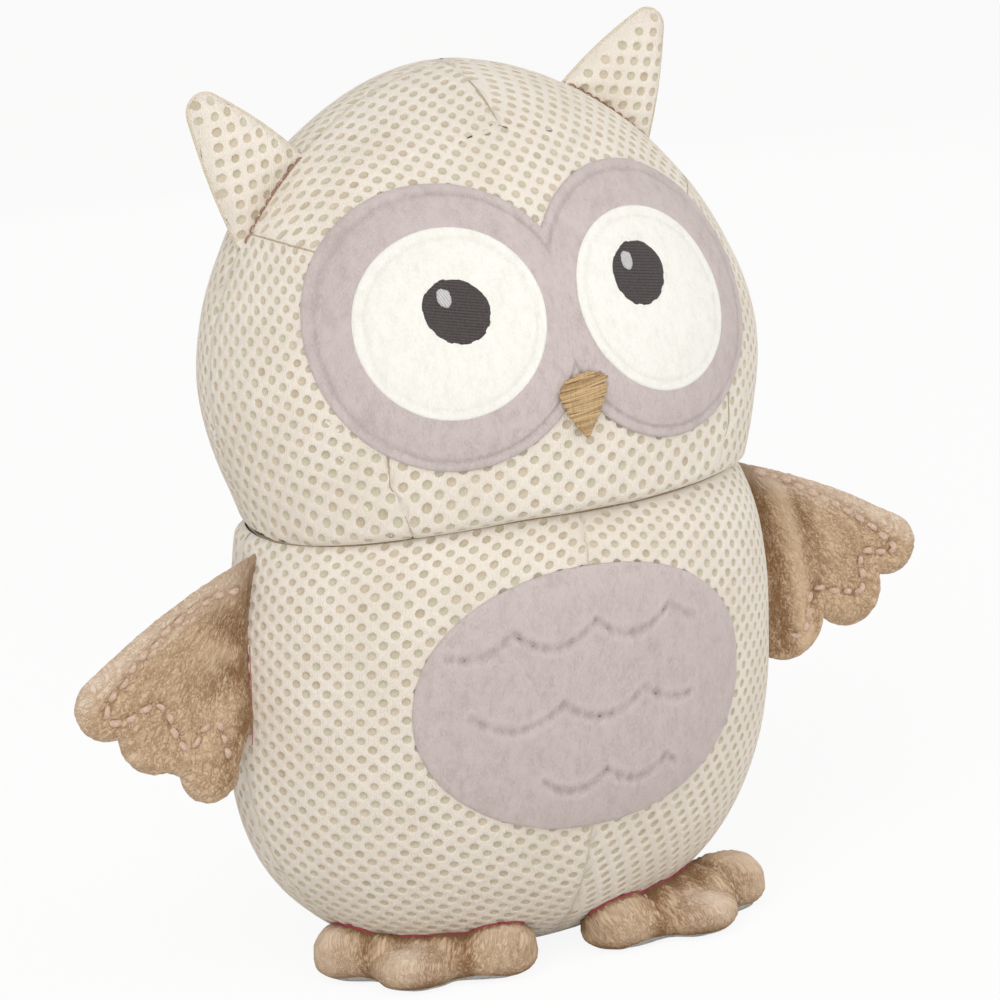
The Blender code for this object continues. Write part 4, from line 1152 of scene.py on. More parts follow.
def make_pupil(name):
    place = PUPIL_PLACES[name]
    outline = jagged(circle(place, PUPIL_RADIUS, PUPIL_RADIUS, 132), place, 5, 0.22 * MM, 44)

    # The rows raise the thread and, through the pile value, lighten its tops: painted light and shade across the
    # rows
    def rows(flat):
        across = flat[:, 1] + 0.2 * flat[:, 0]
        return 0.5 + 0.5 * np.sin(across * math.tau / (0.62 * MM))

    pupil = lay_piece(
        "pupil_embroidery_" + name,
        HEAD,
        outline,
        place,
        ring_shares(PUPIL_RADIUS, 0.22 * MM, 0.18 * MM),
        lambda flat, shares: PUPIL_RISE * lip((1 - shares) * PUPIL_RADIUS, 0.6 * MM) + 0.05 * MM * rows(flat),
        "charcoal_thread",
        lift=PUPIL_BASE,
        grain=rows,
    )
    dress(pupil, "pupil_" + name)
    light = HIGHLIGHT_PLACES[name]
    outline = jagged(circle(light, 1.5 * MM, 2.0 * MM, 48), light, 8, 0.2 * MM, 16)
    shine = lay_piece(
        "eye_highlight_embroidery_" + name,
        HEAD,
        outline,
        light,
        ring_shares(2.0 * MM, 0.2 * MM, 0.15 * MM),
        lambda flat, shares: 0.35 * MM * lip((1 - shares) * 2 * MM, 0.5 * MM),
        "pale_thread",
        lift=PUPIL_BASE + PUPIL_RISE - 0.05 * MM,
        grain=lambda flat: 0.5 + 0.5 * np.sin((flat[:, 0] * 0.9 + flat[:, 1] * 0.4) * math.tau / (0.5 * MM)),
    )
    dress(shine, "eye_highlight_" + name)


def make_beak():
    """Satin stitch: threads side by side across the beak, with their ends along its edge."""
    across, shoulder, top, length, half = -0.75 * MM, 136.7 * MM, 3.2 * MM, 10.4 * MM, 5.75 * MM
    pitch = 0.42 * MM
    lift = MASK_BASE + MASK_RISE + 0.05 * MM
    chance = np.random.default_rng(17)
    parts, tones = [], []
    count = int((top + length) / pitch)
    for row in range(count):
        z = shoulder + top - (row + 0.5) * pitch
        if z > shoulder:
            reach = half * math.sqrt(max(0.0, 1 - ((z - shoulder) / top) ** 2))
        else:
            reach = half * (1 - ((shoulder - z) / length) ** 1.5)
        reach = max(reach, 0.25 * MM) * chance.uniform(0.92, 1.06)
        slope = chance.uniform(-0.07, 0.07) + 0.14
        share = np.linspace(-1, 1, 13)
        x = across + share * reach
        height = z + share * reach * slope + 0.07 * MM * np.sin(share * 3 + row)
        base = HEAD.front_points(x, height)
        rise = 0.85 * MM * np.sqrt(np.clip(1 - (share * 0.96) ** 2, 0, 1)) + 0.25 * MM
        rise *= 0.72 + 0.28 * min(1, reach / half)
        points, normals = HEAD.skin(base, rise + lift)
        tube_points, faces = tube(points, 0.30 * MM * chance.uniform(0.85, 1.15), 8, up=normals)
        parts.append((tube_points, faces))
        tones.append(np.full(len(tube_points), chance.uniform(0.0, 1.0)))
    outline = []
    for turn in np.linspace(0, math.pi, 25):
        outline.append((across + 0.92 * half * math.cos(turn), shoulder + 0.9 * top * math.sin(turn)))
    for share in np.linspace(0.04, 1.96, 49):
        down = 1 - abs(1 - share)
        side = -1 if share < 1 else 1
        outline.append((across + side * 0.92 * half * (1 - down**1.5), shoulder - 0.96 * length * down))
    middle = np.array((across, shoulder - top / 2))
    shares = ring_shares(half, 0.6 * MM)
    backing, _ = patch_points(
        HEAD, outline, middle, shares, lambda flat, share: 0.9 * MM * lip((1 - share) * half, 3 * MM), lift
    )
    parts.append((backing, dome_faces(len(shares), len(outline))))
    # The backing's low tone is painted shade between the satin threads
    tones.append(np.full(len(backing), 0.1))
    points, faces = join(parts)
    beak = make_mesh("beak_embroidery", points, faces, "golden_thread", {"pile": np.concatenate(tones)})
    dress(beak, "beak")


# Belly


def patch_outline(count):
    turns = full_turn(count)
    power = 2 / PATCH_FULLNESS
    across = PATCH_HALF[0] * np.sign(np.cos(turns)) * np.abs(np.cos(turns)) ** power
    upward = PATCH_HALF[1] * np.sign(np.sin(turns)) * np.abs(np.sin(turns)) ** power
    cos, sin = math.cos(PATCH_TURN), math.sin(PATCH_TURN)
    return np.stack((across * cos - upward * sin, PATCH_CENTRE[1] + across * sin + upward * cos), 1)


def patch_share(flat):
    """How far out a place lies on the belly patch: 0 in its middle and 1 on its outline."""
    cos, sin = math.cos(PATCH_TURN), math.sin(PATCH_TURN)
    x, z = flat[:, 0], flat[:, 1] - PATCH_CENTRE[1]
    across, upward = (x * cos + z * sin) / PATCH_HALF[0], (z * cos - x * sin) / PATCH_HALF[1]
    return (np.abs(across) ** PATCH_FULLNESS + np.abs(upward) ** PATCH_FULLNESS) ** (1 / PATCH_FULLNESS)


def scallop_height(name, x):
    _, _, crest, pitch, low, depth = SCALLOPS[name]
    phase = (x - crest) / pitch % 1
    return low + depth * (2 * phase - 1) ** 2


def scallop_groove(flat):
    """Where the rows of scalloped stitching draw the pile down, and most of all at each stitch."""
    total = np.zeros(len(flat))
    strengths = np.random.default_rng(37).uniform(0.25, 1.0, 64)
    for row, (name, (start, end, crest, *_)) in enumerate(SCALLOPS.items()):
        away = np.abs(flat[:, 1] - scallop_height(name, flat[:, 0])) * 0.85
        past = np.maximum(0, np.maximum(start - flat[:, 0], flat[:, 0] - end))
        number = (flat[:, 0] - crest) / SCALLOP_STITCH
        nearest = np.round(number)
        stitch = np.exp(-(((number - nearest) * SCALLOP_STITCH / (1.0 * MM)) ** 2))
        stitch *= strengths[(nearest.astype(int) + 20 * row) % 64]
        line = np.exp(-((np.hypot(away, past) / (0.80 * MM)) ** 2))
        total = np.maximum(total, line * (0.18 + 0.82 * stitch))
    return total


def scallop_ridge(flat):
    """The pile that stands up just below and above the stitching."""
    total = np.zeros(len(flat))
    for name, (start, end, *_) in SCALLOPS.items():
        away = np.abs(flat[:, 1] - scallop_height(name, flat[:, 0])) * 0.85
        past = np.maximum(0, np.maximum(start - flat[:, 0], flat[:, 0] - end))
        total = np.maximum(total, np.exp(-(((np.hypot(away, past) - 1.7 * MM) / (0.7 * MM)) ** 2)))
    return total


def make_belly():
    def height(flat, shares):
        inside = (1 - shares) * PATCH_HALF[1]
        rise = 0.95 * MM * lip(inside, 0.8 * MM) + 0.25 * MM * smooth(inside, 0, 5 * MM)
        rise += (0.10 * scallop_ridge(flat) - 0.62 * scallop_groove(flat)) * MM
        lumps = 0.10 * pile_noise(flat, 31, 1.2 * MM) + 0.08 * flat_noise(flat, 0.008, 33)
        return rise + lumps * MM * lip(inside)

    def grain(flat):
        # The noise that raises the pile tufts also lightens them; the stitched grooves get painted shade and the
        # ridges beside them painted highlight
        pile = 0.5 + 0.5 * pile_noise(flat, 31, 1.2 * MM)
        return pile - 1.3 * scallop_groove(flat) + 0.2 * scallop_ridge(flat)

    patch = lay_piece(
        "tummy_patch_plush",
        BODY,
        patch_outline(340),
        PATCH_CENTRE,
        ring_shares(0.036, 0.55 * MM),
        height,
        "mauve_plush",
        lift=MASK_BASE,
        grain=grain,
    )
    dress(patch, "tummy_patch")
    for name, (start, end, crest, *_) in SCALLOPS.items():
        parts = []
        first = math.ceil((start - crest) / SCALLOP_STITCH)
        last = math.floor((end - crest) / SCALLOP_STITCH)
        for number in range(first, last + 1):
            x = crest + number * SCALLOP_STITCH + np.linspace(-0.95, 0.95, 9) * MM
            base = BODY.front_points(x, scallop_height(name, x))
            arch = np.sin(np.linspace(0, math.pi, 9))
            points, normals = BODY.skin(base, (0.42 + 0.16 * arch) * MM)
            parts.append(tube(points, (0.12 + 0.16 * arch) * MM, 6, up=normals))
        row, faces = join(parts)
        stitches = make_mesh("feather_stitches_" + name, row, faces, "feather_thread")
        dress(stitches, "feather_stitch_" + name)


# Head and body fabric


def add_panel(name, node, panels, body="torso"):
    panels = [clean(*panel) for panel in panels]
    points, faces = join([panel[:2] for panel in panels])
    attributes = {key: np.concatenate([panel[2][key] for panel in panels]) for key in panels[0][2]}
    piece = make_mesh(name, points, faces, "mesh_fabric", attributes)
    dress(piece, node, body)
    return piece


def under_mask(points):
    flat = points[:, (0, 2)]
    return (mask_depth(flat) > 1.4 * MM) & (points[:, 1] < HEAD_SEAM_Y)


def under_patch(points):
    return (patch_share(points[:, (0, 2)]) < 0.965) & (points[:, 1] < BODY_SEAM_Y)


def side_turn(form, seam_y, mirrored):
    """The turn at which a ring meets the upright side seam."""

    def turn(nominal):
        _, depth = form.full_axes(nominal, np.full_like(nominal, seam_y))
        angle = np.arcsin(np.clip((seam_y - form.centre(nominal)) / depth, -1, 1))
        return math.pi - angle if mirrored else angle

    return turn


def level_turn(value):
    return lambda nominal: np.full_like(nominal, value)


def dress_head():
    sectors = (
        (CHEEK_END, SIDE_DART, -24, 0),
        (SIDE_DART, 90, 1, 1),
        (90, 180 - SIDE_DART, 1, -1),
        (180 - SIDE_DART, 180 - CHEEK_END, 23, 0),
    )
    panels = []
    for number, (first, last, turn, joined) in enumerate(sectors):
        sector = FaceSector(first, last, joined)
        shift = (1.3 * MM, 0.6 * MM)
        panels.append(holed_panel(sector, sector.span(), math.radians(turn), shift, under_mask, seed=40 + number))
    darts = (low_dart_turn(-1), low_dart_turn(1))
    seam = (DART_DEPTH, DART_WIDTH)
    chin = RingPanel(HEAD, -math.pi / 2, NECK_Z + 0.12 * MM, 0.1497, *darts, seam)
    panels.append(holed_panel(chin, chin.span(), 0.0, (0.4 * MM, 0.5 * MM), under_mask, seed=45))
    front = add_panel("head_front_fabric", "head_front_panel", panels)
    crown = HEAD.mid + HEAD.upper - 0.02 * MM
    quarter = math.pi / 4
    for name, side in SIDES.items():
        seam = side_turn(HEAD, HEAD_SEAM_Y, side < 0)
        ends = (seam, level_turn(math.pi / 2)) if side > 0 else (level_turn(math.pi / 2), seam)
        middle = quarter if side > 0 else 3 * quarter
        panel = RingPanel(HEAD, middle, NECK_Z + 0.12 * MM, crown, *ends)
        piece = holed_panel(panel, panel.span(), 0.0, (0, 1 * MM), seed=60 + side)
        back = add_panel("head_back_fabric_" + name, "head_back_panel_" + name, [piece])
    add_stuffing("head_fibre", HEAD, "head_stuffing", NECK_Z + 1 * MM, crown - 0.2 * MM)


def dress_body():
    top = NECK_Z - 0.12 * MM
    quarter = math.pi / 4
    turns = {"left": -12, "right": 0}
    for name, side in SIDES.items():
        seam = side_turn(BODY, BODY_SEAM_Y, side < 0)
        if side > 0:
            front = RingPanel(BODY, -quarter, BASE_SEAM_Z, top, level_turn(-math.pi / 2), seam)
            back = RingPanel(BODY, quarter, BASE_SEAM_Z, top, seam, level_turn(math.pi / 2))
        else:
            front = RingPanel(BODY, 5 * quarter, BASE_SEAM_Z, top, seam, level_turn(1.5 * math.pi))
            back = RingPanel(BODY, 3 * quarter, BASE_SEAM_Z, top, level_turn(math.pi / 2), seam)
        turn = math.radians(turns[name])
        piece = holed_panel(front, front.span(), turn, (0.9 * MM, 1.7 * MM), under_patch, seed=70 + side)
        add_panel("body_front_fabric_" + name, "body_front_panel_" + name, [piece])
        piece = holed_panel(back, back.span(), 0.0, (0, 0.5 * MM), seed=80 + side)
        add_panel("body_back_fabric_" + name, "body_back_panel_" + name, [piece])
    base_width, base_depth = BODY.full_axes(np.array([BASE_SEAM_Z]), np.array([-1.0]))
    _, back_depth = BODY.full_axes(np.array([BASE_SEAM_Z]), np.array([1.0]))
    centre = float(BODY.centre(BASE_SEAM_Z))

    def base(u, v):
        depth = np.where(v < 0, base_depth[0], back_depth[0])
        share = np.hypot(u / base_width[0], v / depth)
        edge = (1 - share) * base_depth[0]
        pull = np.maximum(1, share)
        x, y = u / pull, centre + v / pull
        z = np.minimum(BODY.underside(x, y), BASE_SEAM_Z)
        z = np.where(share >= 1, BASE_SEAM_Z, z)
        z = np.maximum(z, 0.02 * MM)
        points = np.stack((x, y, z), 1)
        normals = BODY.normals(points)
        normals[z < 0.3 * MM] = (0, 0, -1)
        drop = SEAM_DEPTH * roll_in(edge, SEAM_WIDTH)
        return points - normals * drop[:, None], normals, edge

    reach = float(base_width[0])
    piece = holed_panel(base, (-reach, reach, -reach, reach), 0.0, (0, 0), seed=90)
    add_panel("body_base_fabric", "body_base_panel", [turned_over(piece)])
    add_stuffing("body_fibre", BODY, "body_stuffing", 2.5 * MM, NECK_Z - 1 * MM)


def add_stuffing(name, form, node, low, high):
    """The loose fibre that fills a form, just under its fabric."""
    share = np.linspace(0, 1, 46)
    heights = low + (high - low) * (1 - np.cos(share * math.pi)) / 2
    turns = full_turn(64)
    grid_height, grid_turn = np.meshgrid(heights, turns, indexing="ij")
    rings = form.ring_points(grid_height.ravel(), grid_turn.ravel())
    normals = form.normals(rings)
    wisps = 0.6 * soft_noise(rings, 0.004, 6) + 0.4 * soft_noise(rings, 0.0017, 7)
    rings = rings - normals * ((2.9 + 0.6 * wisps) * MM)[:, None]
    rings[:, 2] = np.maximum(rings[:, 2], 2.2 * MM)
    ends = np.stack((rings[:64].mean(0), rings[-64:].mean(0)))
    points = np.concatenate((rings, ends))
    piece = make_mesh(name, points, pod_faces(46, 64), "fibre_stuffing")
    dress(piece, node)


# Seams that show


def make_seams():
    """The thread in the neck's crease, and the threads that show in darts and panel seams."""
    turns = full_turn(420)
    chance = soft_noise(np.stack((turns * 9, turns * 0, turns * 0), 1), 1.0, 5)
    body_line = BODY.ring_points(np.full(420, NECK_Z), turns)
    out = body_line - np.array((0, NECK_Y, 0))
    out[:, 2] = 0
    out = unit(out)
    line, _ = BODY.skin(body_line)
    line = line + out * (0.10 * MM + 0.10 * MM * chance)[:, None]
    line[:, 2] += 0.22 * MM * chance
    points, faces = tube(line, 0.40 * MM * (1 + 0.2 * chance), 8, closed=True)
    neck = make_mesh("neck_seam_stitching", points, faces, "seam_thread")
    dress(neck, "neck_seam_thread")
    make_fabric_backs()
    parts = []
    for first in (SIDE_DART, 180 - SIDE_DART):
        around = math.radians(first) % math.tau
        limit = float(np.interp(around, *FaceSector.edges))
        parts.append(dart_line(around, math.radians(57), limit - 0.01, 0.30 * MM))
    for side in SIDES.values():
        heights = np.linspace(NECK_Z + 1.5 * MM, 0.132, 30)
        points = HEAD.ring_points(heights, low_dart_turn(side)(heights))
        points, normals = HEAD.skin(points, np.full(30, -0.45 * MM))
        parts.append(tube(points, 0.30 * MM, 6, up=normals))
    parts.append(dart_line(math.pi / 2, math.radians(60.5), math.radians(79), 0.36 * MM))
    points, faces = join(parts)
    darts = make_mesh("head_dart_threads", points, faces, "dart_thread")
    dress(darts, None)
    parts = []
    for turn in (-math.pi / 2, math.pi / 2):
        heights = np.linspace(BASE_SEAM_Z, NECK_Z - 3 * MM, 90)
        parts.append(seam_line(BODY, heights, np.full(90, turn)))
    for mirrored in (False, True):
        heights = np.linspace(BASE_SEAM_Z, NECK_Z - 3 * MM, 90)
        parts.append(seam_line(BODY, heights, side_turn(BODY, BODY_SEAM_Y, mirrored)(heights)))
        climb = 1 - (1 - np.linspace(0, 1, 130)) ** 2
        heights = NECK_Z + 3 * MM + (HEAD.mid + HEAD.upper - 0.36 * MM - NECK_Z - 3 * MM) * climb
        parts.append(seam_line(HEAD, heights, side_turn(HEAD, HEAD_SEAM_Y, mirrored)(heights)))
    heights = np.linspace(NECK_Z + 3 * MM, HEAD.mid + HEAD.upper - 0.3 * MM, 110)
    parts.append(seam_line(HEAD, heights, np.full(110, math.pi / 2)))
    turns = full_turn(160)
    parts.append(seam_line(BODY, np.full(160, BASE_SEAM_Z), turns, closed=True))
    points, faces = join(parts)
    seams = make_mesh("panel_seam_threads", points, faces, "mesh_seam")
    dress(seams, None)


def make_fabric_backs():
    """The plain inner face of the spacer mesh, which shows where its holed face parts at a seam."""
    turns = full_turn(180)
    backs = (
        (HEAD, "head_fabric_back", NECK_Z + 0.5 * MM, HEAD.mid + HEAD.upper),
        (BODY, "body_fabric_back", NECK_Z - 0.5 * MM, BODY.mid - BODY.lower),
    )
    for form, name, near, far in backs:
        climb = 1 - (1 - np.linspace(0, 0.985, 90)) ** 2
        rings = []
        for height in near + (far - near) * climb:
            places = form.ring_points(np.full(180, height), turns)
            rings.append(form.skin(places, np.full(180, -FABRIC_DEPTH))[0])
        faces = strip_faces(len(rings), 180)
        if form is BODY:
            faces = flipped(faces)
        back = make_mesh(name, np.concatenate(rings), faces, "mesh_seam")
        dress(back, None)


def dart_line(around, start, end, radius):
    tilts = np.linspace(start, end, 30)
    places = FaceSector.cast_at(tilts, np.full(30, around))
    points, normals = HEAD.skin(places, np.full(30, -0.42 * MM))
    return tube(points, radius * np.sin(np.linspace(0.25, math.pi * 0.8, 30)), 6, up=normals)


def seam_line(form, heights, turns, closed=False):
    places = form.ring_points(heights, turns)
    points, normals = form.skin(places, np.full(len(heights), -0.72 * MM))
    return tube(points, 0.32 * MM, 6, closed=closed, up=normals)


# Ears


class Outline:
    """A closed outline in a plane, seen from its middle."""

    def __init__(self, places, middle):
        self.middle = np.asarray(middle, float)
        self.places = resample(places, 0.4 * MM, closed=True)
        rays = self.places - self.middle
        turns = np.arctan2(rays[:, 1], rays[:, 0])
        order = np.argsort(turns)
        self.turns = np.concatenate((turns[order] - math.tau, turns[order], turns[order] + math.tau))
        self.reach = np.tile(np.hypot(*rays.T)[order], 3)

    def share(self, flat):
        rays = flat - self.middle
        limit = np.interp(np.arctan2(rays[:, 1], rays[:, 0]), self.turns, self.reach)
        return np.hypot(*rays.T) / limit

    def edge(self, flat):
        """How far inside the outline a place lies, along the nearest of its edges."""
        ends = np.concatenate((self.places, self.places[:1]))
        distance = path_distance(flat, ends[::2] if len(ends) % 2 else np.concatenate((ends[::2], ends[:1])))
        return np.where(self.share(flat) <= 1, distance, -distance)


def head_reach(ray, plane):
    """How far the head's skin lies from its middle along a ray in an upright plane."""
    low, high = 0.0, 0.131
    for _ in range(40):
        reach = (low + high) / 2
        x, z = ray[0] * reach, HEAD.mid + ray[1] * reach
        limit = float(HEAD.side_reach(np.array([z]), np.array([plane]))[0])
        inside = z < HEAD.mid + HEAD.upper and abs(x) < limit
        low, high = (reach, high) if inside else (low, reach)
    return low


EARS = {
    "left": {"inner": (27.5, 195.8), "outer": (49.0, 178.5), "tip": (50.0, 204.6), "radius": 4.0},
    "right": {"inner": (39.8, 191.4), "outer": (58.2, 170.6), "tip": (58.5, 199.8), "radius": 4.2},
}
EAR_BOW = 0.8 * MM
EAR_PUFF = 4.0 * MM
EAR_TURNS = {"left": 30, "right": -51}


def ear_outline(name):
    """An ear from the front: its root on the head, its sides and its round tip."""
    ear = EARS[name]
    centre = np.array((0, HEAD.mid))
    inner, outer, tip = (np.array(ear[key]) * MM for key in ("inner", "outer", "tip"))
    radius = ear["radius"] * MM
    root = []
    for share in np.linspace(0, 1, 25):
        ray = inner + (outer - inner) * share - centre
        ray /= np.linalg.norm(ray)
        root.append(centre + ray * (head_reach(ray, HEAD_SEAM_Y) - 1.6 * MM))

    def touch(place, side):
        edge = tip - place
        edge /= np.linalg.norm(edge)
        return tip + radius * side * np.array((edge[1], -edge[0]))

    outer_touch, inner_touch = touch(root[-1], 1), touch(root[0], -1)
    start = math.atan2(*(outer_touch - tip)[::-1])
    end = math.atan2(*(inner_touch - tip)[::-1])
    if end < start:
        end += math.tau
    arc = [tip + radius * np.array((math.cos(turn), math.sin(turn))) for turn in np.linspace(start, end, 16)]

    def side(first, second):
        step = second - first
        bow = np.array((step[1], -step[0])) / np.linalg.norm(step) * EAR_BOW
        shares = np.linspace(0.05, 0.95, 19)
        return [first + step * share + bow * math.sin(math.pi * share) for share in shares]

    return np.array(root + side(root[-1], arc[0]) + arc + side(arc[-1], root[0]))


def make_ears():
    for name, side in SIDES.items():
        places = ear_outline(name)
        root_places = places[:25]
        base = root_places.mean(0)
        out = places[44:60].mean(0) - base
        out /= np.linalg.norm(out)
        middle = base + out * 9.5 * MM
        outline = Outline(places, middle)
        span = (places[:, 0].min(), places[:, 0].max(), places[:, 1].min(), places[:, 1].max())
        for face, way in (("front", -1), ("back", 1)):

            def lay(u, v, way=way):
                flat = np.stack((u, v), 1) + middle
                share = outline.share(flat)
                edge = outline.edge(flat)
                flat = middle + (flat - middle) / np.maximum(1, share)[:, None]
                inner = np.maximum(edge, 0)
                rooted = np.linalg.norm(flat[:, None, :] - root_places[None], axis=2).min(1)
                puff = EAR_PUFF * np.sqrt(1 - (1 - np.clip(inner / (7.0 * MM), 0, 1)) ** 2)
                puff *= 0.75 + 0.25 * smooth(rooted, 0, 7 * MM)
                near_root = smooth(rooted, 0, 2.5 * MM)
                puff = np.maximum(puff, (1 - near_root) * 2.2 * MM)
                puff += 0.25 * MM * flat_noise(flat, 0.007, 51 + way) * smooth(inner, 0, 3 * MM)
                y = HEAD_SEAM_Y + way * np.maximum(puff, 0.03 * MM)
                points = np.stack((side * flat[:, 0], y, flat[:, 1]), 1)
                normals = np.zeros_like(points)
                normals[:, 1] = way
                return points, normals, edge

            flat_span = (span[0] - middle[0], span[1] - middle[0], span[2] - middle[1], span[3] - middle[1])
            turn = math.radians(EAR_TURNS[name])
            piece = holed_panel(lay, flat_span, turn, (0.4 * MM, 0.8 * MM), seed=100 + side + way)
            if side * way > 0:
                piece = turned_over(piece)
            panel = add_panel(f"ear_{name}_{face}_fabric", f"ear_{name}_{face}_panel", [piece], None)
            blend_ear(panel, name, side, out, base)
        make_ear_padding(name, side, outline, middle, out, base)
        make_ear_seam(name, side, root_places)
        make_ear_edge(name, side, places[25:], out, base)


def blend_ear(piece, name, side, out, base):
    start = base + out * 0.6 * MM
    end = base + out * 8 * MM
    side * start[0]
    side * end[0]
    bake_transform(piece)


def make_ear_padding(name, side, outline, middle, out, base):
    shares = np.linspace(0.1, 0.86, 12)
    turns = full_turn(60)
    limit = np.interp((turns + math.pi) % math.tau - math.pi, outline.turns, outline.reach)
    rays = rays_at(turns) * limit[:, None]
    points = []
    for way in (-1, 1):
        for share in shares if way < 0 else shares[::-1]:
            flat = middle + rays * share
            rise = 2.5 * MM * math.sqrt(1 - (share / 0.88) ** 2) + 0.15 * MM
            wisp = 0.25 * MM * flat_noise(flat, 0.003, 55)
            points.append(np.stack((side * flat[:, 0], HEAD_SEAM_Y + way * (rise + wisp), flat[:, 1]), 1))
    ends = np.array([(side * middle[0], HEAD_SEAM_Y + way * 2.6 * MM, middle[1]) for way in (-1, 1)])
    points = np.concatenate(points + [ends])
    piece = make_mesh(f"ear_{name}_fibre", points, pod_faces(2 * len(shares), 60), "fibre_stuffing")
    dress(piece, f"ear_{name}_padding", None)
    blend_ear(piece, name, side, out, base)


def make_ear_seam(name, side, root_places):
    """The stitches that hold the ear's front to the head."""
    centre = np.array((0, HEAD.mid))
    line = []
    for place in root_places[1:-1]:
        y = HEAD_SEAM_Y - 2.5 * MM
        ray = (place - centre) / np.linalg.norm(place - centre)
        spot = centre + ray * (head_reach(ray, y) + 0.35 * MM)
        line.append((side * spot[0], y, spot[1]))
    line = resample(np.array(line), 0.5 * MM)
    normals = HEAD.normals(line)
    points, faces = stitch_row(line, normals, 2.0 * MM, 0.3 * MM, 0.29 * MM, 0.3 * MM, 0.10 * MM, 7 + side)
    piece = make_mesh(f"ear_{name}_root_stitches", points, faces, "ear_root_thread")
    dress(piece, f"ear_{name}_seam_thread")


def make_ear_edge(name, side, places, out, base):
    """The thread along the ear's rim, where front and back are sewn together."""
    line = np.stack((side * places[:, 0], np.full(len(places), HEAD_SEAM_Y), places[:, 1]), 1)
    line = resample(line, 0.8 * MM)
    points, faces = tube(line, 0.42 * MM, 8, up=(0, 1, 0))
    piece = make_mesh(f"ear_{name}_rim_thread", points, faces, "mesh_seam")
    blend_ear(piece, name, side, out, base)


# Wings

WING_PLANE = NECK_Y
WING_SHOULDER = np.array((60.0, 106.0)) * MM
WINGS = {
    "right": {
        "root": (66.5, 103.4),
        "bulge": 1.7,
        "tip": ((97.4, 75.3), 7.6),
        "middle": ((86.6, 67.3), 9.3),
        "inner": ((75.6, 56.2), 6.9),
        "stitches": (
            (65.3, 96.4), (69.5, 95.9), (73.7, 94.9), (77.8, 92.9), (81.8, 90.6), (88.6, 85.9), (94.6, 80.4), (98.6, 76.0),
            (99.0, 72.4), (95.0, 72.2), (90.0, 74.0), (86.2, 74.6), (84.6, 70.5), (83.2, 66.4), (80.6, 62.4), (78.2, 65.0),
            (76.2, 67.4), (73.4, 67.6), (72.2, 63.0), (71.6, 59.0),
        ),
        "notch": ((85.6, 58.1), (82.3, 57.7)),
    },
    "left": {
        "root": (56.5, 103.8),
        "bulge": 1.6,
        "tip": ((99.6, 76.2), 7.3),
        "middle": ((88.0, 67.5), 8.9),
        "inner": ((71.0, 63.6), 10.0),
        "stitches": (
            (65.0, 100.2), (70.1, 98.0), (77.8, 94.0), (86.0, 88.4), (93.6, 82.6), (99.6, 77.0), (99.6, 74.6), (95.4, 75.4),
            (91.7, 76.6), (90.3, 73.5), (91.2, 70.2), (90.6, 66.8), (86.8, 67.1), (83.4, 68.5), (78.6, 69.8), (75.9, 66.9),
            (74.9, 62.9), (73.3, 59.3), (70.9, 60.3),
        ),
        "notch": None,
    },
}


def circles_meet(first, first_radius, second, second_radius):
    """The place below their centres where two circles cross."""
    first, second = np.asarray(first), np.asarray(second)
    between = second - first
    apart = np.linalg.norm(between)
    along = (apart**2 + first_radius**2 - second_radius**2) / (2 * apart)
    off = math.sqrt(first_radius**2 - along**2)
    unit = between / apart
    return first + unit * along + off * np.array((-unit[1], unit[0]))


def arc_between(centre, radius, start, end, count):
    """Points clockwise along a circle from one place to another."""
    centre = np.asarray(centre)
    first = math.atan2(*(np.asarray(start) - centre)[::-1])
    last = math.atan2(*(np.asarray(end) - centre)[::-1])
    if last > first:
        last -= math.tau
    turns = np.linspace(first, last, count)
    return [centre + radius * np.array((math.cos(turn), math.sin(turn))) for turn in turns]


def wing_outline(name):
    """A wing from the front: its root, its top edge and three round feathers."""
    wing = WINGS[name]
    (tip, tip_radius), (middle, middle_radius), (inner, inner_radius) = (
        (np.array(wing[key][0]) * MM, wing[key][1] * MM) for key in ("tip", "middle", "inner")
    )
    low, high = wing["root"]
    heights = np.linspace(low, high, 40) * MM
    root = np.stack((BODY.side_reach(heights, np.full(40, WING_PLANE)) - 0.8 * MM, heights), 1)
    start = root[-1]
    ahead = tip - start
    lean = math.atan2(ahead[1], ahead[0]) + math.asin(tip_radius / np.linalg.norm(ahead))
    out = np.array((-math.sin(lean), math.cos(lean)))
    touch = tip + tip_radius * out
    shares = np.linspace(0.03, 0.97, 34)
    edge = [start + (touch - start) * s + out * wing["bulge"] * MM * math.sin(math.pi * s) for s in shares]
    first_notch = circles_meet(tip, tip_radius, middle, middle_radius)
    if wing["notch"]:
        low_end, second_notch = (np.array(place) * MM for place in wing["notch"])
    else:
        low_end = second_notch = circles_meet(middle, middle_radius, inner, inner_radius)
    feathers = arc_between(tip, tip_radius, touch, first_notch, 24)
    feathers += arc_between(middle, middle_radius, first_notch, low_end, 22)[1:]
    last = inner + inner_radius * np.array((math.cos(2.9), math.sin(2.9)))
    if last[0] < root[0][0] + 0.5 * MM:
        last = root[0]
    feathers += arc_between(inner, inner_radius, second_notch, last, 22)[1:-1]
    places = np.array(list(root) + edge + feathers)
    return places, (places.min(0) + places.max(0)) / 2


def path_distance(flat, path):
    """How far places lie from a path."""
    best = np.full(len(flat), 1.0)
    for first, second in zip(path, path[1:]):
        step = second - first
        share = np.clip((flat - first) @ step / (step @ step), 0, 1)
        best = np.minimum(best, np.linalg.norm(flat - first - share[:, None] * step, axis=1))
    return best


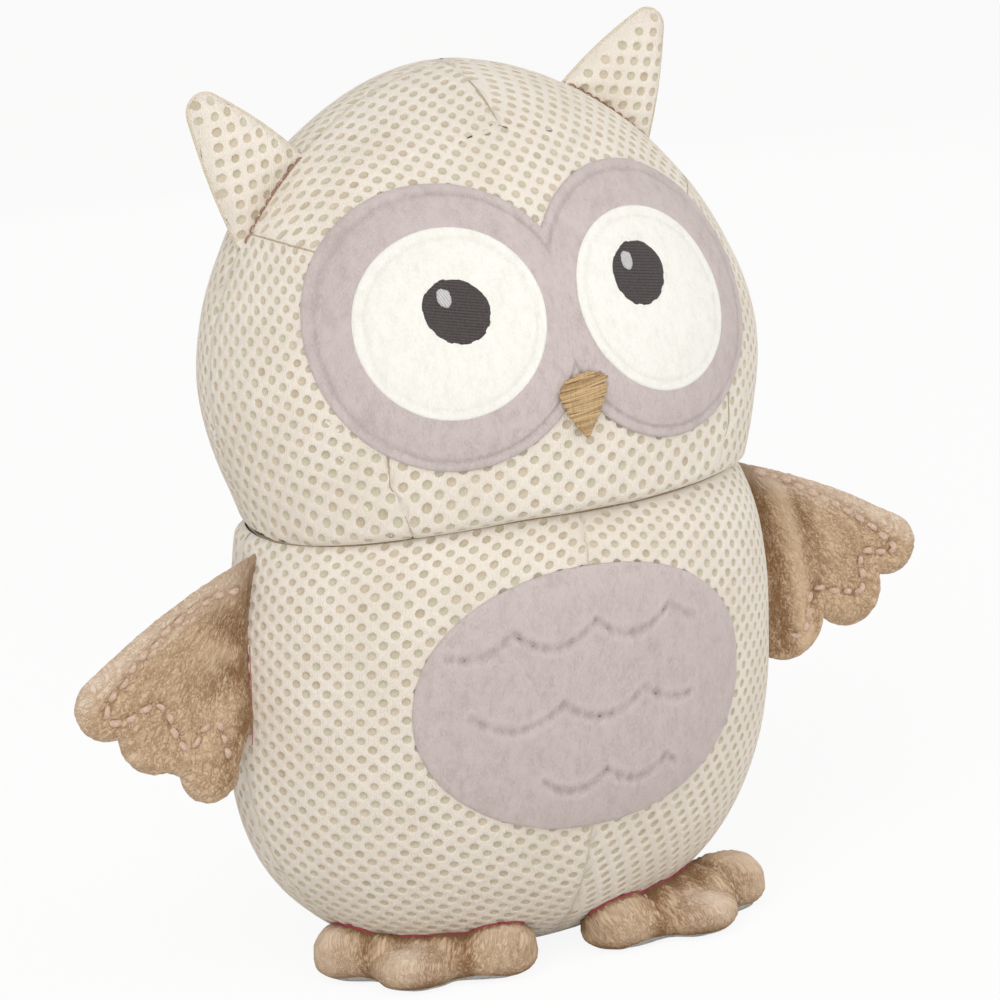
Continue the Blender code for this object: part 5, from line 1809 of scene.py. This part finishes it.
def billow(along, across, seed):
    """Crinkled pile from 0 to 1: round tufts with sharp creases between them."""
    flat = np.stack((along, across, np.zeros(len(along))), 1)
    warp = 0.55 * soft_noise(flat * (0.35, 0.35, 1), 1.0, seed)
    bent = np.stack((along + warp, across + 0.9 * warp, np.zeros(len(along))), 1)
    return 0.62 * np.abs(soft_noise(bent, 1.0, seed + 1)) + 0.38 * np.abs(soft_noise(bent * 2.2, 1.0, seed + 2))


def wing_pile(flat, seed):
    """The wing's pile, which fans out from the shoulder."""
    rays = flat - WING_SHOULDER
    far = np.hypot(*rays.T)
    turn = np.arctan2(rays[:, 1], rays[:, 0])
    return billow(far / (1.9 * MM), turn * 38 * MM / (1.0 * MM), seed), far, turn * 38 * MM


def make_wings():
    for name, side in SIDES.items():
        places, middle = wing_outline(name)
        outline = Outline(places, middle)
        path = resample(smooth_path(np.array(WINGS[name]["stitches"]) * MM), 0.5 * MM)
        top_edge = places[39:78:2]

        def puff(flat, way):
            inner = np.maximum(outline.edge(flat), 0)
            root = flat[:, 0] - BODY.side_reach(flat[:, 1], np.full(len(flat), WING_PLANE))
            rise = 3.2 * MM * np.sqrt(1 - (1 - np.clip(inner / (5.0 * MM), 0, 1)) ** 2)
            rise *= 0.70 + 0.30 * smooth(root, 0, 8 * MM)
            away = path_distance(flat, path[::3])
            rise -= 0.75 * MM * np.exp(-((away / (1.4 * MM)) ** 2)) * smooth(inner, 0, 2 * MM)
            if side > 0:
                fold = -np.cos((root - 3.2 * MM + 0.08 * (flat[:, 1] - 0.08)) * math.tau / (10.4 * MM))
                fold *= np.exp(-(((root - 8 * MM) / (9 * MM)) ** 2))
            else:
                rays = flat - np.array((58.0, 80.0)) * MM
                fold = np.sin(np.arctan2(rays[:, 1], rays[:, 0]) * 7.0)
                fold *= 0.6 * np.exp(-(((root - 6 * MM) / (8 * MM)) ** 2))
            fold *= smooth(inner, 0, 4 * MM)
            rise += 1.1 * MM * fold
            rise += 0.40 * MM * flat_noise(flat, 0.008, 61 + way + side) * smooth(inner, 0, 3 * MM)
            tufts, far, turn = wing_pile(flat, 63 + 5 * way + side)
            rise += 0.60 * MM * (tufts - 0.25) * (0.4 + 0.6 * smooth(inner, 0, 1.2 * MM))
            # The pile value lightens raised tufts and folds and gives painted shade in the folds' hollows, along the
            # stitched groove and at the root against the body
            pile = 0.35 + 0.9 * tufts + 0.45 * fold - 0.30 * np.exp(-((away / (0.9 * MM)) ** 2))
            pile -= 0.60 * np.exp(-((np.maximum(root, 0) / (5 * MM)) ** 2))
            top = path_distance(flat, top_edge)
            pale_band_and_highlight = 0.80 * (1 - smooth(top, 2.2 * MM, 6.5 * MM))
            pale_band_and_highlight += 0.35 * (1 - smooth(inner, 0.4 * MM, 2.4 * MM))
            values = {"pile": pile, "pale_band_and_highlight": np.minimum(pale_band_and_highlight, 1), "nap_along": far, "nap_across": turn}
            return np.maximum(rise, 0.03 * MM), values

        for face, way in (("front", -1), ("back", 1)):
            shares = ring_shares(0.024, 0.38 * MM, 0.3 * MM)
            count = 520
            ring = outline_ring(places, count)
            wobble = 1 + 0.011 * soft_noise(np.stack((*ring.T, np.zeros(len(ring))), 1), 0.9 * MM, 66)
            flat = np.concatenate((rings_between(middle, ring, shares), middle[None]))
            rise, values = puff(flat, way)
            rise[(len(shares) - 1) * count : -1] = 0.0
            spread = np.append(np.tile(wobble, len(shares)) ** np.repeat(shares**8, count), 1.0)
            flat = middle + (flat - middle) * spread[:, None]
            points = np.stack((side * flat[:, 0], WING_PLANE + way * rise, flat[:, 1]), 1)
            faces = dome_faces(len(shares), count)
            if side * way < 0:
                faces = flipped(faces)
            panel = make_mesh(f"wing_{name}_{face}_plush", points, faces, "brown_plush", values)
            dress(panel, f"wing_{name}_{face}_panel", None)
            blend_wing(panel, name, side)
        make_wing_padding(name, side, places, middle, outline)
        rise, _ = puff(path, -1)
        line = np.stack((side * path[:, 0], WING_PLANE - rise - 0.25 * MM, path[:, 1]), 1)
        line[:, 1] = soften(line[:, 1], 4)
        normals = np.tile((0.0, -1.0, 0.0), (len(line), 1))
        points, faces = stitch_row(
            line, normals, 2.8 * MM, 0.9 * MM, 0.74 * MM, 0.7 * MM, 0.20 * MM, 3 + side, squeeze=0.6, vary=0.2
        )
        stitches = make_mesh(f"wing_{name}_running_stitch", points, faces, "topstitch_thread")
        dress(stitches, f"wing_{name}_topstitching", None)
        blend_wing(stitches, name, side)
    make_wing_root_thread()


def make_wing_root_thread():
    """The crimson thread that shows where the owl's right wing is sewn on."""
    heights = np.linspace(60.0, 83.0, 60) * MM
    y = WING_PLANE + (0.6 + 3.0 * np.linspace(1, 0, 60) ** 2) * MM - 2.6 * MM
    spots = np.stack((-BODY.side_reach(heights, y), y, heights), 1)
    points, normals = BODY.skin(spots, np.full(60, 0.02 * MM))
    swell = soft_noise(points, 0.003, 91)
    points, faces = tube(points, 0.17 * MM * (1 + 0.4 * swell), 6, up=normals)
    piece = make_mesh("wing_right_root_thread", points, faces, "faded_crimson_thread")
    dress(piece, None)


def smooth_path(path, rounds=2):
    """The path with its corners cut."""
    for _ in range(rounds):
        inner = np.stack((path[:-1] * 0.75 + path[1:] * 0.25, path[:-1] * 0.25 + path[1:] * 0.75), 1)
        path = np.concatenate((path[:1], inner.reshape(-1, 2), path[-1:]))
    return path


def outline_ring(places, count):
    """Points round an outline at an even spacing."""
    around = np.linalg.norm(np.diff(np.concatenate((places, places[:1])), axis=0), axis=1).sum()
    return resample(places, around / count, True)[:count]


def blend_wing(piece, name, side):
    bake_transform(piece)


def make_wing_padding(name, side, places, middle, outline):
    ring = outline_ring(places, 90)
    shares = np.linspace(0.08, 0.88, 14)
    points = []
    for way in (-1, 1):
        for share in shares if way < 0 else shares[::-1]:
            flat = middle + (ring - middle) * share
            inner = np.maximum(outline.edge(flat), 0)
            rise = 1.5 * MM * np.clip(inner / (6 * MM), 0.1, 1) + 0.15 * MM * flat_noise(flat, 0.003, 65)
            points.append(np.stack((side * flat[:, 0], WING_PLANE + way * rise, flat[:, 1]), 1))
    ends = np.array([(side * middle[0], WING_PLANE + way * 1.5 * MM, middle[1]) for way in (-1, 1)])
    points = np.concatenate(points + [ends])
    piece = make_mesh(f"wing_{name}_fibre", points, pod_faces(2 * len(shares), 90), "fibre_stuffing")
    dress(piece, f"wing_{name}_padding", None)
    blend_wing(piece, name, side)


# Feet

FOOT_PLACES = {"left": (0.0289, -0.0261), "right": (0.0280, -0.0201)}
FOOT_TURNS = {"left": 13.5, "right": 38.0}
FOOT_HINGES = {"left": (0.03086, -0.03427), "right": (0.03514, -0.02924)}
TOES = (((3.2, 17.8), 8.3, 12.9), ((9.6, 0.8), 10.2, 9.5), ((3.4, -17.4), 8.3, 12.9))
INSTEP = (((2.4, 9.2), 9.8, 12.6), ((2.6, -8.8), 9.8, 12.6), ((0.0, 0.0), 11.0, 12.6))
# Painted highlights on the tops of the toes: place, reach in mm and strength
PAINTED_TOE_HIGHLIGHTS = (((6.0, 20.0), 6.0, 0.8), ((15.0, 0.8), 6.5, 1.0), ((6.5, -19.5), 5.5, 0.6))
HOLLOWS = (((7.0, -9.0), 3.4), ((6.8, 5.2), 3.8), ((6.0, -2.0), 3.0))
FOOT_MIDDLE = (4.5, 0.5)
FOOT_WIDEST = 4.6 * MM
SOLE_INSET = 5.8 * MM
TOE_CREASES = (((3.0, 10.6), (12.6, 12.4)), ((3.4, -10.4), (12.6, -11.6)))


class Foot:
    """A foot as seen from above, with lengths ahead of and beside its root."""

    def __init__(self, name):
        self.turn = math.radians(FOOT_TURNS[name])
        self.root = np.array(FOOT_PLACES[name])
        self.side = SIDES[name]
        self.ahead = np.array((math.sin(self.turn), -math.cos(self.turn)))
        self.beside = np.array((math.cos(self.turn), math.sin(self.turn)))
        self.circles = [(np.array(c) * MM, r * MM, h * MM - FOOT_WIDEST) for c, r, h in (*TOES, *INSTEP)]
        self.creases = [np.array(crease) * MM for crease in TOE_CREASES]
        self.middle = np.array(FOOT_MIDDLE) * MM

    def outline(self, count):
        turns = full_turn(count)
        rays = rays_at(turns)
        reach = np.zeros(count)
        for centre, radius, _ in self.circles:
            offset = centre - self.middle
            along = rays @ offset
            inside = radius**2 - offset @ offset + along**2
            reach = np.where(inside > 0, np.maximum(reach, along + np.sqrt(np.maximum(inside, 0))), reach)
        kernel = np.hanning(19)[1:-1]
        soft = np.convolve(np.pad(reach, 8, "wrap"), kernel / kernel.sum(), "valid")
        return self.middle + rays * soft[:, None]

    def ground(self, flat):
        """Places ahead and beside, as x and y on the ground of the left foot."""
        return self.root + flat[:, :1] * self.ahead + flat[:, 1:] * self.beside

    def crease(self, flat):
        """1 in the creases between the toes and 0 away from them."""
        away = np.minimum(*(path_distance(flat, crease) for crease in self.creases))
        return np.exp(-((away / (1.5 * MM)) ** 2))

    def hollow(self, flat):
        """1 in the hollows behind the middle toe and 0 away from them."""
        total = np.zeros(len(flat))
        for centre, radius in HOLLOWS:
            away = np.linalg.norm(flat - np.array(centre) * MM, axis=1)
            total = np.maximum(total, np.exp(-((away / (radius * MM)) ** 2)))
        return total

    def height(self, flat):
        """The top of the foot: one pillow whose middle toe is low and stands out ahead."""
        total = np.zeros(len(flat))
        power = 5.0
        for centre, radius, top in self.circles:
            away = np.linalg.norm(flat - centre, axis=1) / (radius * 1.03)
            total += (top * np.clip(1 - away**2.6, 0, 1) ** 0.5) ** power
        return FOOT_WIDEST + total ** (1 / power) - (0.8 * self.crease(flat) + 0.9 * self.hollow(flat)) * MM

    def lid(self, flat):
        """The height of the body's lower skin over a place on the ground."""
        ground = self.ground(flat)
        under = BODY.underside(ground[:, 0], ground[:, 1])
        inside = BODY.level(np.stack((ground[:, 0], ground[:, 1], np.full(len(flat), 0.030)), 1)) < 0
        return np.where(inside, under, 1.0)

    def places(self, flat, z):
        ground = self.ground(flat)
        return np.stack((self.side * ground[:, 0], ground[:, 1], z), 1)


def make_feet():
    for name in SIDES:
        make_foot(name, Foot(name))


def make_foot(name, foot):
    count = 300
    ring = foot.outline(count)
    shares = ring_shares(0.020, 0.40 * MM, 0.3 * MM)
    rows = len(shares)
    flat = np.concatenate((rings_between(foot.middle, ring, shares), foot.middle[None]))
    inner = (1 - np.append(np.repeat(shares, count), 0)) * 18 * MM
    height = foot.height(flat)
    height[(rows - 1) * count : rows * count] = FOOT_WIDEST
    along = np.roll(ring, -1, 0) - np.roll(ring, 1, 0)
    inward = np.stack((-along[:, 1], along[:, 0]), 1) / np.linalg.norm(along, axis=1, keepdims=True)
    curls = np.radians((14, 28, 42, 56, 70, 84))
    lower = [ring + inward * SOLE_INSET * (1 - math.cos(turn)) for turn in curls]
    lower_heights = [FOOT_WIDEST - (FOOT_WIDEST - 0.5 * MM) * math.sin(turn) for turn in curls]
    flat = np.concatenate((flat[:-1], *lower, flat[-1:]))
    height = np.concatenate((height[:-1], np.repeat(lower_heights, count), height[-1:]))
    inner = np.concatenate((inner[:-1], np.zeros(len(curls) * count), inner[-1:]))
    rows += len(curls)
    tufts = billow(flat[:, 0] / (1.5 * MM), flat[:, 1] / (0.75 * MM) + height / (0.8 * MM), 71 + foot.side)
    lumps = flat_noise(flat, 0.006, 75)
    outward = smooth(inner, 3.5 * MM, 0)
    rays = flat - foot.middle
    rays /= np.maximum(1e-9, np.linalg.norm(rays, axis=1, keepdims=True))
    swell = (0.65 * (tufts - 0.25) + 0.30 * lumps) * MM * smooth(height, 0.6 * MM, 2.5 * MM)
    lid = foot.lid(flat)
    top = np.minimum(height + swell * (1 - outward), lid - 0.35 * MM)
    points = foot.places(flat + rays * (swell * outward)[:, None], top)
    alive = points[:, 2] > 0.35 * MM
    faces = [face for face in dome_faces(rows, count) if alive[list(face)].any()]
    if foot.side < 0:
        faces = flipped(faces)
    points[:, 2] = np.maximum(points[:, 2], 0.3 * MM)
    shadow = smooth(height, lid - 3.4 * MM, lid - 0.2 * MM)
    # pale is a painted highlight on the raised tops of the toes, kept out of the body's shadow
    pale = np.zeros(len(flat))
    for spot, reach, strength in PAINTED_TOE_HIGHLIGHTS:
        away = np.linalg.norm(flat - np.array(spot) * MM, axis=1)
        pale = np.maximum(pale, strength * np.exp(-((away / (reach * MM)) ** 2)))
    pale *= smooth(height / MM, 1.5, 5.0)
    # The pile value makes raised tufts and the toes' painted highlight lighter, and gives painted shade in the
    # hollows, the creases and the body's shadow; the lumps are tone that varies at random
    hollow = np.maximum(foot.hollow(flat), 0.7 * foot.crease(flat))
    pile = 0.10 + 1.1 * tufts + 0.55 * pale - 0.80 * hollow - 1.0 * shadow + 0.45 * lumps
    hem = np.exp(-(((height - 1.8 * MM) / (0.6 * MM)) ** 2)) * (inner < 0.1 * MM)
    pile -= 0.5 * hem
    values = {
        "pile": pile,
        "pale_band_and_highlight": pale * (1 - shadow),
        "nap_along": 1.8 * (flat[:, 0] + height),
        "nap_across": flat[:, 1],
    }
    upper = make_mesh(f"foot_{name}_upper_plush", points, faces, "brown_plush", values)
    dress(upper, f"foot_{name}_upper", None)
    blend_foot(upper, name)
    sole_ring = ring + inward * SOLE_INSET * 0.86
    make_sole(name, foot, sole_ring)
    make_foot_fibre(name, foot, ring)
    make_foot_seam(name, foot)
    if name == "left":
        make_toe_stitches(name, foot)


def blend_foot(piece, name):
    x, y = FOOT_HINGES[name]
    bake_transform(piece)


def make_sole(name, foot, ring):
    count = len(ring)
    shares = np.array((0.15, 0.3, 0.45, 0.6, 0.75, 0.88, 0.96, 0.985, 1.0, 1.0, 0.985))
    heights = np.array((0.0, 0.0, 0.0, 0.0, 0.0, 0.0, 0.1, 0.25, 0.6, 1.0, 1.3)) * MM
    flat = np.concatenate((rings_between(foot.middle, ring, shares), foot.middle[None]))
    z = np.append(np.repeat(heights, count), 0.0)
    lid = foot.lid(flat) - 0.3 * MM
    points = foot.places(flat, np.maximum(np.minimum(z, lid), 0.02 * MM))
    faces = [face for face in dome_faces(len(shares), count) if (lid[list(face)] > 0.3 * MM).all()]
    if foot.side > 0:
        faces = flipped(faces)
    values = {
        "pile": 0.3 + 0.3 * flat_noise(flat, 0.0014, 77),
        "nap_along": flat[:, 0],
        "nap_across": flat[:, 1],
    }
    sole = make_mesh(f"foot_{name}_sole_plush", points, faces, "brown_plush", values)
    dress(sole, f"foot_{name}_sole", None)
    blend_foot(sole, name)


def make_foot_fibre(name, foot, ring):
    shares = np.linspace(0.1, 0.86, 12)
    count = len(ring)
    flat = np.concatenate((rings_between(foot.middle, ring, shares), foot.middle[None]))
    height = foot.height(flat) - 1.6 * MM + 0.3 * MM * flat_noise(flat, 0.003, 79)
    top = np.maximum(np.minimum(height, foot.lid(flat) - 1.2 * MM), 1.4 * MM)
    low = foot.places(flat, np.full(len(flat), 1.3 * MM))
    high = foot.places(flat, top)
    rows = len(shares)
    lower = low[:-1].reshape(rows, count, 3)[::-1].reshape(-1, 3)
    points = np.concatenate((high[:-1], lower, high[-1:], low[-1:]))
    faces = pod_faces(2 * rows, count)
    if foot.side < 0:
        faces = flipped(faces)
    piece = make_mesh(f"foot_{name}_fibre", points, faces, "fibre_stuffing")
    dress(piece, f"foot_{name}_stuffing", None)
    blend_foot(piece, name)


def make_toe_stitches(name, foot):
    """The stitches that draw the pile in between the toes."""
    parts = []
    for number, crease in enumerate(foot.creases):
        shares = np.linspace(0.25, 0.95, 20)[:, None]
        path = resample(crease[0] + (crease[1] - crease[0]) * shares, 0.4 * MM)
        height = np.minimum(foot.height(path), foot.lid(path) - 0.35 * MM) + 0.15 * MM
        line = foot.places(path, height)
        normals = np.tile((0.0, 0.0, 1.0), (len(line), 1))
        sizes = (1.8 * MM, 1.2 * MM, 0.28 * MM, 0.4 * MM, 0.1 * MM)
        parts.append(stitch_row(line, normals, *sizes, 85 + number))
    points, faces = join(parts)
    piece = make_mesh(f"foot_{name}_toe_stitches", points, faces, "topstitch_thread")
    blend_foot(piece, name)


def make_foot_seam(name, foot):
    """The crimson thread where the foot's top meets the body."""
    line = []
    for beside in np.linspace(-24.5, 25.0, 90) * MM:
        reach = np.linspace(24, -8, 320) * MM
        flat = np.stack((reach, np.full(320, beside)), 1)
        height, lid = foot.height(flat), foot.lid(flat)
        touching = (lid < height + 0.1 * MM) & (height > FOOT_WIDEST + 0.5 * MM)
        if touching.any():
            first = touching.argmax()
            line.append(foot.places(flat[first : first + 1], lid[first : first + 1])[0])
    line = resample(np.array(line), 0.5 * MM)
    soft = np.stack([soften(line[:, axis], 3) for axis in range(3)], 1)
    soft[:, 2] += 0.35 * MM * soft_noise(soft, 0.0045, 83)
    soft, normals = BODY.skin(soft, np.full(len(soft), 0.22 * MM))
    swell = soft_noise(soft, 0.004, 81)
    points, faces = tube(soft, 0.42 * MM * (1 + 0.45 * swell), 8, up=normals)
    piece = make_mesh(f"foot_{name}_root_thread", points, faces, "crimson_thread")
    dress(piece, f"foot_{name}_seam_thread")


# Studio


def make_studio():
    owl = settings()
    floor = Finish("pale_floor")
    ray = floor.add("LightPath")
    seen = Value(floor, ray.outputs["Is Camera Ray"])
    mirrored = Value(floor, ray.outputs["Is Glossy Ray"])
    through = Value(floor, ray.outputs["Is Transmission Ray"])
    plain = floor.add("BsdfDiffuse", {}, {"Color": (0.82, 0.81, 0.79), "Roughness": 1.0})
    glow = floor.add("Emission", {}, {"Color": (1.0, 1.0, 1.0), "Strength": 1.0})
    factor = (seen + mirrored + through) * 0.90
    mixed = floor.add("MixShader", {}, {0: factor, 1: plain.outputs[0], 2: glow.outputs[0]})
    floor.show(mixed)
    size = 6.0
    corners = [(-size, -size, 0), (size, -size, 0), (size, size, 0), (-size, size, 0)]
    ground = make_mesh("studio_floor", np.array(corners), [(0, 1, 2, 3)], "pale_floor")
    sky = Finish("studio_world", "World")
    soft = sky.add("Background", {}, {"Color": (1.0, 0.995, 0.985), "Strength": owl.sky_strength})
    white = sky.add("Background", {}, {"Color": (1.0, 1.0, 1.0), "Strength": 1.0})
    seen = sky.add("LightPath").outputs["Is Camera Ray"]
    sky.show(sky.add("MixShader", {}, {0: seen, 1: soft.outputs[0], 2: white.outputs[0]}))
    bpy.context.scene.world = sky.owner
    lamps = (
        ("key_lamp", (-0.55, -0.75, 0.85), 0.9, owl.key_strength, (1.0, 0.99, 0.97)),
        ("fill_lamp", (0.85, -0.45, 0.45), 0.9, owl.key_strength * 0.52, (0.98, 0.99, 1.0)),
        ("low_lamp", (-0.35, -0.95, 0.06), 0.5, owl.key_strength * 0.50, (1.0, 0.99, 0.98)),
        ("back_lamp", (0.35, 1.0, 0.55), 1.0, owl.key_strength * 0.30, (1.0, 0.99, 0.98)),
    )
    target = Vector((0, 0, 0.10))
    for name, place, size, strength, colour in lamps:
        lamp = bpy.data.lights.new(name, "AREA")
        lamp.shape = "DISK"
        lamp.size = size
        lamp.energy = strength
        lamp.color = colour
        obj = bpy.data.objects.new(name, lamp)
        obj.location = place
        obj.rotation_euler = (target - Vector(place)).to_track_quat("-Z", "Y").to_euler()
        bpy.context.scene.collection.objects.link(obj)
    bpy.context.scene.view_settings.view_transform = "Standard"
    make_camera()


def make_camera():
    azimuth, elevation, roll = math.radians(-25), math.radians(12.5), math.radians(5.25)
    distance = 1.0
    back = Vector(
        (math.sin(azimuth) * math.cos(elevation), -math.cos(azimuth) * math.cos(elevation), math.sin(elevation))
    )
    right = Vector((math.cos(azimuth), math.sin(azimuth), 0))
    up = back.cross(right)
    rolled_right = right * math.cos(roll) - up * math.sin(roll)
    rolled_up = right * math.sin(roll) + up * math.cos(roll)
    camera = bpy.data.cameras.new("studio_camera")
    camera.lens = 160
    camera.sensor_width = 36
    camera.shift_x = 0.0013
    camera.shift_y = 0.019
    obj = bpy.data.objects.new("studio_camera", camera)
    turn = Matrix((rolled_right, rolled_up, back)).transposed().to_4x4()
    obj.matrix_world = Matrix.Translation(Vector((0, -0.01785, 0.100)) + back * distance) @ turn
    bpy.context.scene.collection.objects.link(obj)
    bpy.context.scene.camera = obj


# Add-on


class PlushOwlSettings(bpy.types.PropertyGroup):
    row_pitch: FloatProperty(
        name="Row pitch", description="Distance between holes in one row", default=5.15 * MM, unit="LENGTH"
    )
    column_pitch: FloatProperty(
        name="Column pitch", description="Distance between holes in one column", default=4.4 * MM, unit="LENGTH"
    )
    hole_width: FloatProperty(name="Hole width", description="Width of a hole", default=2.1 * MM, unit="LENGTH")
    hole_height: FloatProperty(name="Hole height", description="Height of a hole", default=2.0 * MM, unit="LENGTH")
    hole_depth: FloatProperty(
        name="Hole depth", description="How deep the holes go", default=0.45 * MM, unit="LENGTH"
    )
    cream: FloatVectorProperty(
        name="Fabric", description="Colour of the holed fabric", default=rgb(240, 232, 221), subtype="COLOR"
    )
    brown: FloatVectorProperty(
        name="Brown plush", description="Colour of wings and feet", default=rgb(213, 186, 155), subtype="COLOR"
    )
    mauve: FloatVectorProperty(
        name="Mauve plush", description="Colour of mask and belly patch", default=rgb(205, 193, 191), subtype="COLOR"
    )
    sky_strength: FloatProperty(name="Soft light", description="Light from all round", default=0.58, min=0)
    key_strength: FloatProperty(name="Main lamp", description="Power of the main lamp", default=5.15, unit="POWER")


class PLUSH_OWL_OT_finishes(bpy.types.Operator):
    """Makes the materials of fabric, plush and threads"""

    bl_idname = "plush_owl.finishes"
    bl_label = "Finishes"
    bl_options = {"REGISTER", "UNDO"}

    def execute(self, context):
        make_finishes()
        return {"FINISHED"}


class PLUSH_OWL_OT_head(bpy.types.Operator):
    """Builds the head's fabric panels and filling"""

    bl_idname = "plush_owl.head"
    bl_label = "Head"
    bl_options = {"REGISTER", "UNDO"}

    def execute(self, context):
        dress_head()
        return {"FINISHED"}


class PLUSH_OWL_OT_body(bpy.types.Operator):
    """Builds the body's fabric panels and filling"""

    bl_idname = "plush_owl.body"
    bl_label = "Body"
    bl_options = {"REGISTER", "UNDO"}

    def execute(self, context):
        dress_body()
        return {"FINISHED"}


class PLUSH_OWL_OT_seams(bpy.types.Operator):
    """Builds the neck thread, the darts and the seams"""

    bl_idname = "plush_owl.seams"
    bl_label = "Seams"
    bl_options = {"REGISTER", "UNDO"}

    def execute(self, context):
        make_seams()
        return {"FINISHED"}


class PLUSH_OWL_OT_face(bpy.types.Operator):
    """Builds the mask, eyes and beak"""

    bl_idname = "plush_owl.face"
    bl_label = "Face"
    bl_options = {"REGISTER", "UNDO"}

    def execute(self, context):
        make_face()
        return {"FINISHED"}


class PLUSH_OWL_OT_belly(bpy.types.Operator):
    """Builds the belly patch and its stitching"""

    bl_idname = "plush_owl.belly"
    bl_label = "Belly"
    bl_options = {"REGISTER", "UNDO"}

    def execute(self, context):
        make_belly()
        return {"FINISHED"}


class PLUSH_OWL_OT_ears(bpy.types.Operator):
    """Builds both ears"""

    bl_idname = "plush_owl.ears"
    bl_label = "Ears"
    bl_options = {"REGISTER", "UNDO"}

    def execute(self, context):
        make_ears()
        return {"FINISHED"}


class PLUSH_OWL_OT_wings(bpy.types.Operator):
    """Builds both wings"""

    bl_idname = "plush_owl.wings"
    bl_label = "Wings"
    bl_options = {"REGISTER", "UNDO"}

    def execute(self, context):
        make_wings()
        return {"FINISHED"}


class PLUSH_OWL_OT_feet(bpy.types.Operator):
    """Builds both feet"""

    bl_idname = "plush_owl.feet"
    bl_label = "Feet"
    bl_options = {"REGISTER", "UNDO"}

    def execute(self, context):
        make_feet()
        return {"FINISHED"}


class PLUSH_OWL_OT_studio(bpy.types.Operator):
    """Builds the floor, the light and the camera"""

    bl_idname = "plush_owl.studio"
    bl_label = "Studio"
    bl_options = {"REGISTER", "UNDO"}

    def execute(self, context):
        make_studio()
        return {"FINISHED"}


STEPS = (
    PLUSH_OWL_OT_finishes,
    PLUSH_OWL_OT_head,
    PLUSH_OWL_OT_body,
    PLUSH_OWL_OT_seams,
    PLUSH_OWL_OT_face,
    PLUSH_OWL_OT_belly,
    PLUSH_OWL_OT_ears,
    PLUSH_OWL_OT_wings,
    PLUSH_OWL_OT_feet,
    PLUSH_OWL_OT_studio,
)


class PLUSH_OWL_PT_panel(bpy.types.Panel):
    """Lists the settings and the steps in the order in which they run."""

    bl_idname = "PLUSH_OWL_PT_panel"
    bl_label = "Plush Owl"
    bl_space_type = "VIEW_3D"
    bl_region_type = "UI"
    bl_category = "Plush Owl"

    def draw(self, context):
        for key in PlushOwlSettings.__annotations__:
            self.layout.prop(context.scene.plush_owl, key)
        for operator in STEPS:
            self.layout.operator(operator.bl_idname)


CLASSES = (PlushOwlSettings, *STEPS, PLUSH_OWL_PT_panel)


def register():
    for cls in CLASSES:
        bpy.utils.register_class(cls)
    bpy.types.Scene.plush_owl = PointerProperty(type=PlushOwlSettings)


def unregister():
    del bpy.types.Scene.plush_owl
    for cls in reversed(CLASSES):
        bpy.utils.unregister_class(cls)


def main():
    register()
    for operator in STEPS:
        getattr(bpy.ops.plush_owl, operator.bl_idname.split(".")[1])()


if __name__ == "__main__":
    main()
